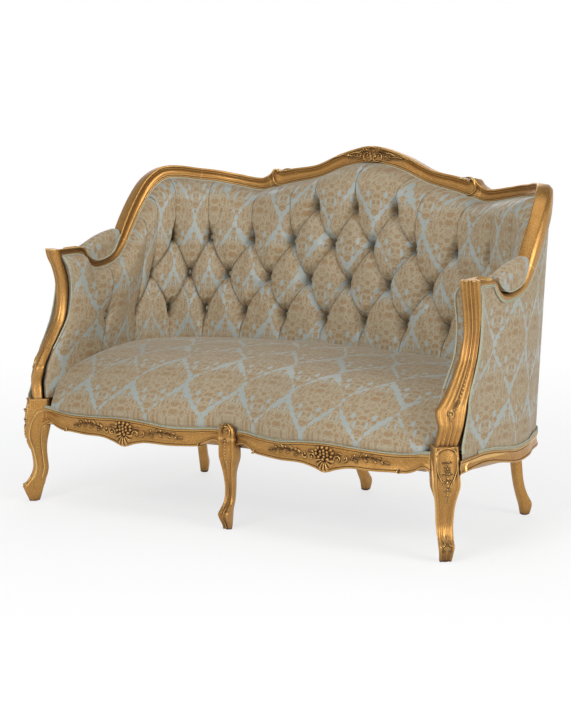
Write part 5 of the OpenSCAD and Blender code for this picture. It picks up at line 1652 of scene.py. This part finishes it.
def sprig(stem, leaves, width):
    """Strokes of a stem and its leaves, which are listed as [share of the stem, turn in degrees, length]."""
    strokes = [["cord", width * 0.3, 0.8, stem]]
    stem = np.asarray(stem, float)
    run = np.linspace(0, 1, len(stem))
    for share, turn, length in leaves:
        near = (share - 0.05, share, share + 0.05)
        back, at, ahead = (np.array([np.interp(k, run, axis) for axis in stem.T]) for k in near)
        way = math.atan2(*(ahead - back)[::-1]) + math.radians(turn)
        bend = math.radians(turn) * 0.35
        turns = [(k, way - bend * k) for k in (0, 0.5, 1)]
        tip = [at + length * k * np.array([math.cos(a), math.sin(a)]) for k, a in turns]
        strokes.append(["leaf", width, 1, tip])
    return strokes


def fan(base, tip_angle, length):
    """Line of a leaf that grows from a base at an angle in degrees."""
    way = np.array([math.cos(math.radians(tip_angle)), math.sin(math.radians(tip_angle))])
    return [base, base + way * length * 0.5, base + way * length]


# The crest, to one side of its middle
CREST_STROKES = [
    ["cord", 2.7, 1, curl((20, -1), -160, 205, 21, 6)],
    ["cord", 2.2, 1, [[3, -13], [6, -5], [9, 4], [6, 10]]],
    *(["leaf", 3.6, 1, fan(np.array([43 - a * 0.30, 8.3 + a * 0.03]), a, length)]
      for a, length in ((78, 12), (58, 15), (38, 17), (20, 15))),
    ["leaf", 6.0, 1, [[38, 4], [52, 9], [66, 11], [80, 8]]],
    ["leaf", 5.0, 1, [[40, -6], [54, -4], [66, 1], [76, 0]]],
    ["leaf", 5.0, 1, [[60, 3], [76, 3], [92, 8], [106, 9]]],
    ["leaf", 4.0, 0.8, [[82, 10], [98, 14], [116, 14], [134, 13]]],
    ["leaf", 3.0, 0.6, [[118, 15], [136, 17], [154, 15]]],
]
CREST_BERRIES = [
    [8, -3, 4.2], [20, 0, 3.4], [46, 1, 3.6], [52, -1, 3.0], [57, 3.5, 3.2], [63, -2, 2.8], [69, 5, 3.0],
    [76, 2, 2.6], [85, 1, 2.4], [93, 3, 2.2],
]
# The apron of one bay, to one side of its flower head
APRON_SPRIG = sprig(
    [[70, -10], [92, -6], [116, 1], [140, 4], [162, 2], [184, -3]],
    [[0.12, 60, 17], [0.2, -55, 15], [0.36, 65, 20], [0.44, -60, 18], [0.6, 58, 20], [0.68, -55, 17],
     [0.82, 50, 16], [0.9, -45, 14]],
    4.4,
)
APRON_STROKES = [
    ["cord", 3.2, 1, curl((43, -9), 190, -150, 13, 4.5)],
    ["cord", 2.7, 1, curl((66, -5), 225, 500, 11, 4)],
    ["leaf", 4.4, 1, [[30, -2], [38, 5], [50, 6], [58, 2]]],
    ["leaf", 3.6, 1, [[182, -3], [192, -5], [203, -8]]],
    *APRON_SPRIG,
]
APRON_BERRIES = [[43, -9, 4.2], [66, -5, 4.0], [96, 5, 3.2], [128, -5, 3.4], [132, 11, 3.0], [158, -5, 2.8]]
# Rings of the flower head: [petals, reach across, reach up, radius]
FLOWER_HEAD = [[1, 0, 0, 6.0], [6, 13, 9, 5.6], [11, 27, 17, 5.6]]
# Where the small scroll lies that ends the lower bead, toward the centre leg and toward the corner leg
APRON_ENDS = {-1: 258, 1: 232}
# The knee: oval shield with a rolled upper lip, and husks that run down the leg
KNEE_LIP = ["cord", 4.2, 1, [[-28, LEG_TOP - 22], [-21, LEG_TOP - 9], [-9, LEG_TOP - 2.5], [0, LEG_TOP - 1.5],
                             [9, LEG_TOP - 2.5], [21, LEG_TOP - 9], [28, LEG_TOP - 22]]]
KNEE_SIDES = [
    ["cord", 2.6, 0.7, [[28, LEG_TOP - 24], [26, 248], [18, 226], [9, 210], [5, 198]]],
    ["leaf", 4.6, 1, [[2, 236], [9, 241], [15, 238]]],
    ["leaf", 4.6, 1, [[2, 226], [9, 222], [14, 213]]],
    ["leaf", 3.6, 1, [[1, 268], [8, 273], [15, 269]]],
    ["leaf", 3.4, 0.8, [[1, 203], [6, 199], [8, 190]]],
    ["cord", 2.6, 0.9, curl((12, 52), 100, 420, 9, 3)],
    ["leaf", 4.0, 0.7, [[0, 48], [6, 40], [10, 28]]],
]
KNEE_MIDDLE = [
    ["leaf", 3.0, 0.7, [[0, 182], [1, 170], [0, 156]]],
    ["leaf", 4.6, 0.8, [[0, 74], [0, 62], [0, 48]]],
]
KNEE_HUSKS = [[228, 3.6], [218, 3.2], [209, 2.8], [200, 2.6], [191, 2.4], [183, 2.2], [176, 2.0]]
POST_STROKES = [
    ["cord", 2.8, 1, curl((-4, 396), -60, 330, 11, 3.5)],
    ["leaf", 5.4, 1, [[4, 404], [10, 414], [12, 426], [8, 436]]],
    ["leaf", 4.2, 1, [[0, 408], [0, 420], [4, 434]]],
    ["leaf", 3.6, 0.8, [[-6, 385], [0, 378], [4, 366]]],
    ["leaf", 2.6, 0.7, [[6, 524], [5, 536], [4, 548]]],
]
# Scrolled band that wraps the rail where the crest ends
SCROLL_STROKES = [
    ["cord", 3.6, 1, [[-6, 33], [2, 27], [9, 16], [11, 3], [6, -9], [-4, -18], [-16, -23]]],
    ["cord", 2.6, 1, curl((-7, 24), 30, 330, 9, 3)],
    ["leaf", 4.4, 0.8, [[-8, 18], [-22, 20], [-38, 19], [-54, 17]]],
    ["leaf", 3.4, 0.6, [[-14, 26], [-30, 25], [-46, 22]]],
]
CENTRE_LEG_SIDES = [
    ["leaf", 3.6, 1, [[1, 262], [7, 256], [10, 246]]],
    ["cord", 2.2, 1, curl((8, 52), 100, 400, 7, 2.6)],
]
CENTRE_LEG_MIDDLE = [
    ["cord", 2.4, 1, curl((0, 281), -50, 230, 15.5, 15.5, 20)],
    ["leaf", 2.8, 0.8, [[0, 200], [1, 188], [0, 174]]],
]


class BuildCarving(bpy.types.Operator):
    """Carved leaves, flowers, shells and scrolls on the show-wood"""

    bl_idname = "sofa.carving"
    bl_label = "Carving"

    def execute(self, context):
        self.rise = settings("wood").leaf_relief / MM
        look = (gold_leaf(), "gilt_wood")
        find = bpy.data.objects
        carve("carved_crest", [find["crest_rail"]], self.crest(), look)
        for hand, sign in HANDS:
            crest, rails = find["crest_rail"], find[f"moulded_top_rail_{hand}"]
            leg = find[f"fluted_front_leg_{hand}"]
            front, side = find[f"moulded_front_rail_{hand}"], find[f"moulded_side_rail_{hand}"]
            arm, post = find[f"moulded_arm_rail_{hand}"], find[f"reeded_arm_post_{hand}"]
            carve(f"carved_apron_{hand}", [front], self.apron(sign), look)
            carve(f"carved_knee_{hand}", [leg, front, side], self.knee(sign), look)
            carve(f"carved_post_{hand}", [post], self.post(sign), look)
            carve(f"carved_scroll_{hand}", [crest, rails], self.scroll(sign), look)
            carve(f"carved_arm_leaf_{hand}", [arm, post], self.arm_leaf(sign), look)
        carve("carved_centre_leg", [find["fluted_centre_leg"]], self.centre_leg(), look)
        return {"FINISHED"}

    def on_rail(self, u, v):
        """Layout along the top rail: u is the run, v the height over the rail's middle."""
        a = abs(u)
        point, out = top_at(a) + v * rail_up(a), facing(wrap(a)[4])
        return (point * [-1, 1, 1], out * [-1, 1, 1]) if u < 0 else (point, out)

    def crest(self):
        place, rise = self.on_rail, self.rise
        marks = laid(place, rise, CREST_STROKES, CREST_BERRIES, (1, -1))
        marks += flower(place, 0, 15, 8.5, 6, rise * 0.9)
        band = [[-12, 21], [-6, 24], [0, 25], [6, 24], [12, 21]]
        return marks + laid(place, rise, [["cord", 2.2, 0.8, band]])

    def apron(self, sign):
        rise = self.rise

        def place(u, v):
            k = smooth(FRONT_RAIL, BAY_MID + u)
            return np.array([(BAY_MID + u) * sign, k[1], (k[2] + k[3]) / 2 + v + 4]), FORWARD

        marks = laid(place, rise, APRON_STROKES, APRON_BERRIES, (1, -1))
        for side, end in APRON_ENDS.items():
            marks += laid(place, rise, [["cord", 2.4, 1, curl((end, -25), 90, 400, 8, 2.6)]], (), (side,))
        for row, (count, reach_u, reach_v, r) in enumerate(FLOWER_HEAD):
            for i in range(count):
                a = math.tau * (i + 0.5 * row) / count
                marks.append(("berry", place, (math.cos(a) * reach_u, 9 + math.sin(a) * reach_v), r, 1.1))
        # Ribs of the shell under the flower head
        for i in range(7):
            a = math.radians(-90 + (i - 3) * 24)
            line = [[math.cos(a) * 33 * k, math.sin(a) * 36 * k - 5] for k in (0.25, 0.5, 0.75, 1.0)]
            marks.append(("rib", place, line, 7.0, rise * 1.15))
        return marks

    def knee(self, sign):
        out = facing(45) * [sign, 1, 1]
        across = np.array([-out[1] * sign, out[0] * sign, 0.0])

        def place(u, v):
            centre = np.array([FOOT_X * sign, FRONT_Y, v]) + smooth(CORNER_LEG, v)[1] * out
            return centre + across * u, out

        husks = [[1.5 * math.sin(v), v, r] for v, r in KNEE_HUSKS]
        marks = laid(place, self.rise, [KNEE_LIP, *KNEE_MIDDLE], husks)
        marks += laid(place, self.rise, KNEE_SIDES, (), (1, -1))
        marks += flower(place, 0, 254, 10, 6, self.rise)
        return marks + self.sweep(sign, 135) + self.sweep(sign, -45)

    def sweep(self, sign, face):
        """Mouldings that carry the rails' beads over the knee and down a side of the leg."""
        out, ahead = facing(face) * [sign, 1, 1], facing(45)

        def place(u, v):
            centre = np.array([FOOT_X, FRONT_Y, v]) + (smooth(CORNER_LEG, v)[1] + u) * ahead
            return centre * [sign, 1, 1], out

        half = lambda v: smooth(CORNER_LEG, v)[3] / 2
        front = [[half(v) - k, v] for v, k in ((62, 9), (90, 8), (120, 7.5), (160, 8), (200, 9), (232, 12))]
        front += [[half(252) - 20, 256], [4, 271], [-16, 277], [-34, 278]]
        rear = [[-half(v) * 0.34, v] for v in (70, 100, 140, 180, 206)]
        rear += [[-12, 224], [-22, 236], [-34, 242]]
        return laid(place, self.rise, [["cord", 3.4, 0.55, front], ["cord", 2.6, 0.45, rear]])

    def post(self, sign):
        rise, top = self.rise * 0.8, ARM_Z + 10

        def place(u, v):
            row = smooth(POST, v)
            out = facing(row[4])
            across = np.array([-out[1], out[0], 0.0])
            return (np.array([row[1], row[2], v]) + across * u) * [sign, 1, 1], out * [sign, 1, 1]

        husks = [[-4, 396, 3.6]] + [[9 - i * 0.4, 440 + i * 9.5, 3.0 - i * 0.16] for i in range(9)]
        cap = [["cord", 3.4, 0.9, [[4, top - 5], [11, top - 1.5], [18, top - 5]]]]
        return laid(place, rise, POST_STROKES, husks) + laid(place, rise, cap, (), (1, -1))

    def scroll(self, sign):
        place = lambda u, v: self.on_rail((SCROLL_RUN + u) * sign, v)
        return laid(place, self.rise, SCROLL_STROKES)

    def arm_leaf(self, sign):
        """Leaf over the rounded front end of the arm rail."""

        def place(u, v):
            a = RAIL_END - v
            return (top_at(a) + facing(wrap(a)[4]) * u) * [sign, 1, 1], rail_up(a) * [sign, 1, 1]

        strokes = []
        for u, bend in ((0, 0), (9, 6), (-9, -6)):
            line = [[u * 0.4, 4], [u, 20], [u + bend * 0.6, 36], [u + bend, 52]]
            strokes.append(["leaf", 6.0, 1, line])
        return laid(place, self.rise * 0.8, strokes, [[0, 8 + i * 7, 2.4] for i in range(5)])

    def centre_leg(self):
        rise = self.rise * 0.8
        place = lambda u, v: (np.array([u, CENTRE_Y - smooth(CENTRE_LEG, v)[1], v]), FORWARD)
        husks = [[0, 256 - i * 8.5, 3.0 - i * 0.2] for i in range(7)]
        marks = laid(place, rise, CENTRE_LEG_MIDDLE, husks) + laid(place, rise, CENTRE_LEG_SIDES, (), (1, -1))
        return marks + flower(place, 0, 281, 9, 6, rise)


STEPS = [
    BuildShowWood, BuildHiddenFrame, BuildInsideCover, BuildSeat, BuildArmPads, BuildOutsideCovers,
    BuildPiping, BuildButtons, BuildCarving, BuildStage,
]


class SofaPanel(bpy.types.Panel):
    """The sofa's sizes and its steps."""

    bl_idname = "VIEW3D_PT_sofa"
    bl_label = "Cabriole sofa"
    bl_space_type = "VIEW_3D"
    bl_region_type = "UI"
    bl_category = "Sofa"

    def draw(self, context):
        for group in GROUPS:
            box = self.layout.box()
            for name in GROUPS[group].__annotations__:
                box.prop(settings(group), name)
        for step in STEPS:
            self.layout.operator(step.bl_idname)


GROUPS = {"cloth": SofaCloth, "wood": SofaWood, "view": SofaView}


def register():
    for group, kind in GROUPS.items():
        bpy.utils.register_class(kind)
        setattr(bpy.types.Scene, "sofa_" + group, bpy.props.PointerProperty(type=kind))
    for kind in (*STEPS, SofaPanel):
        bpy.utils.register_class(kind)


def unregister():
    for kind in (SofaPanel, *reversed(STEPS)):
        bpy.utils.unregister_class(kind)
    for group, kind in GROUPS.items():
        delattr(bpy.types.Scene, "sofa_" + group)
        bpy.utils.unregister_class(kind)


def main():
    register()
    for step in STEPS:
        group, name = step.bl_idname.split(".")
        getattr(getattr(bpy.ops, group), name)()


if __name__ == "__main__":
    main()
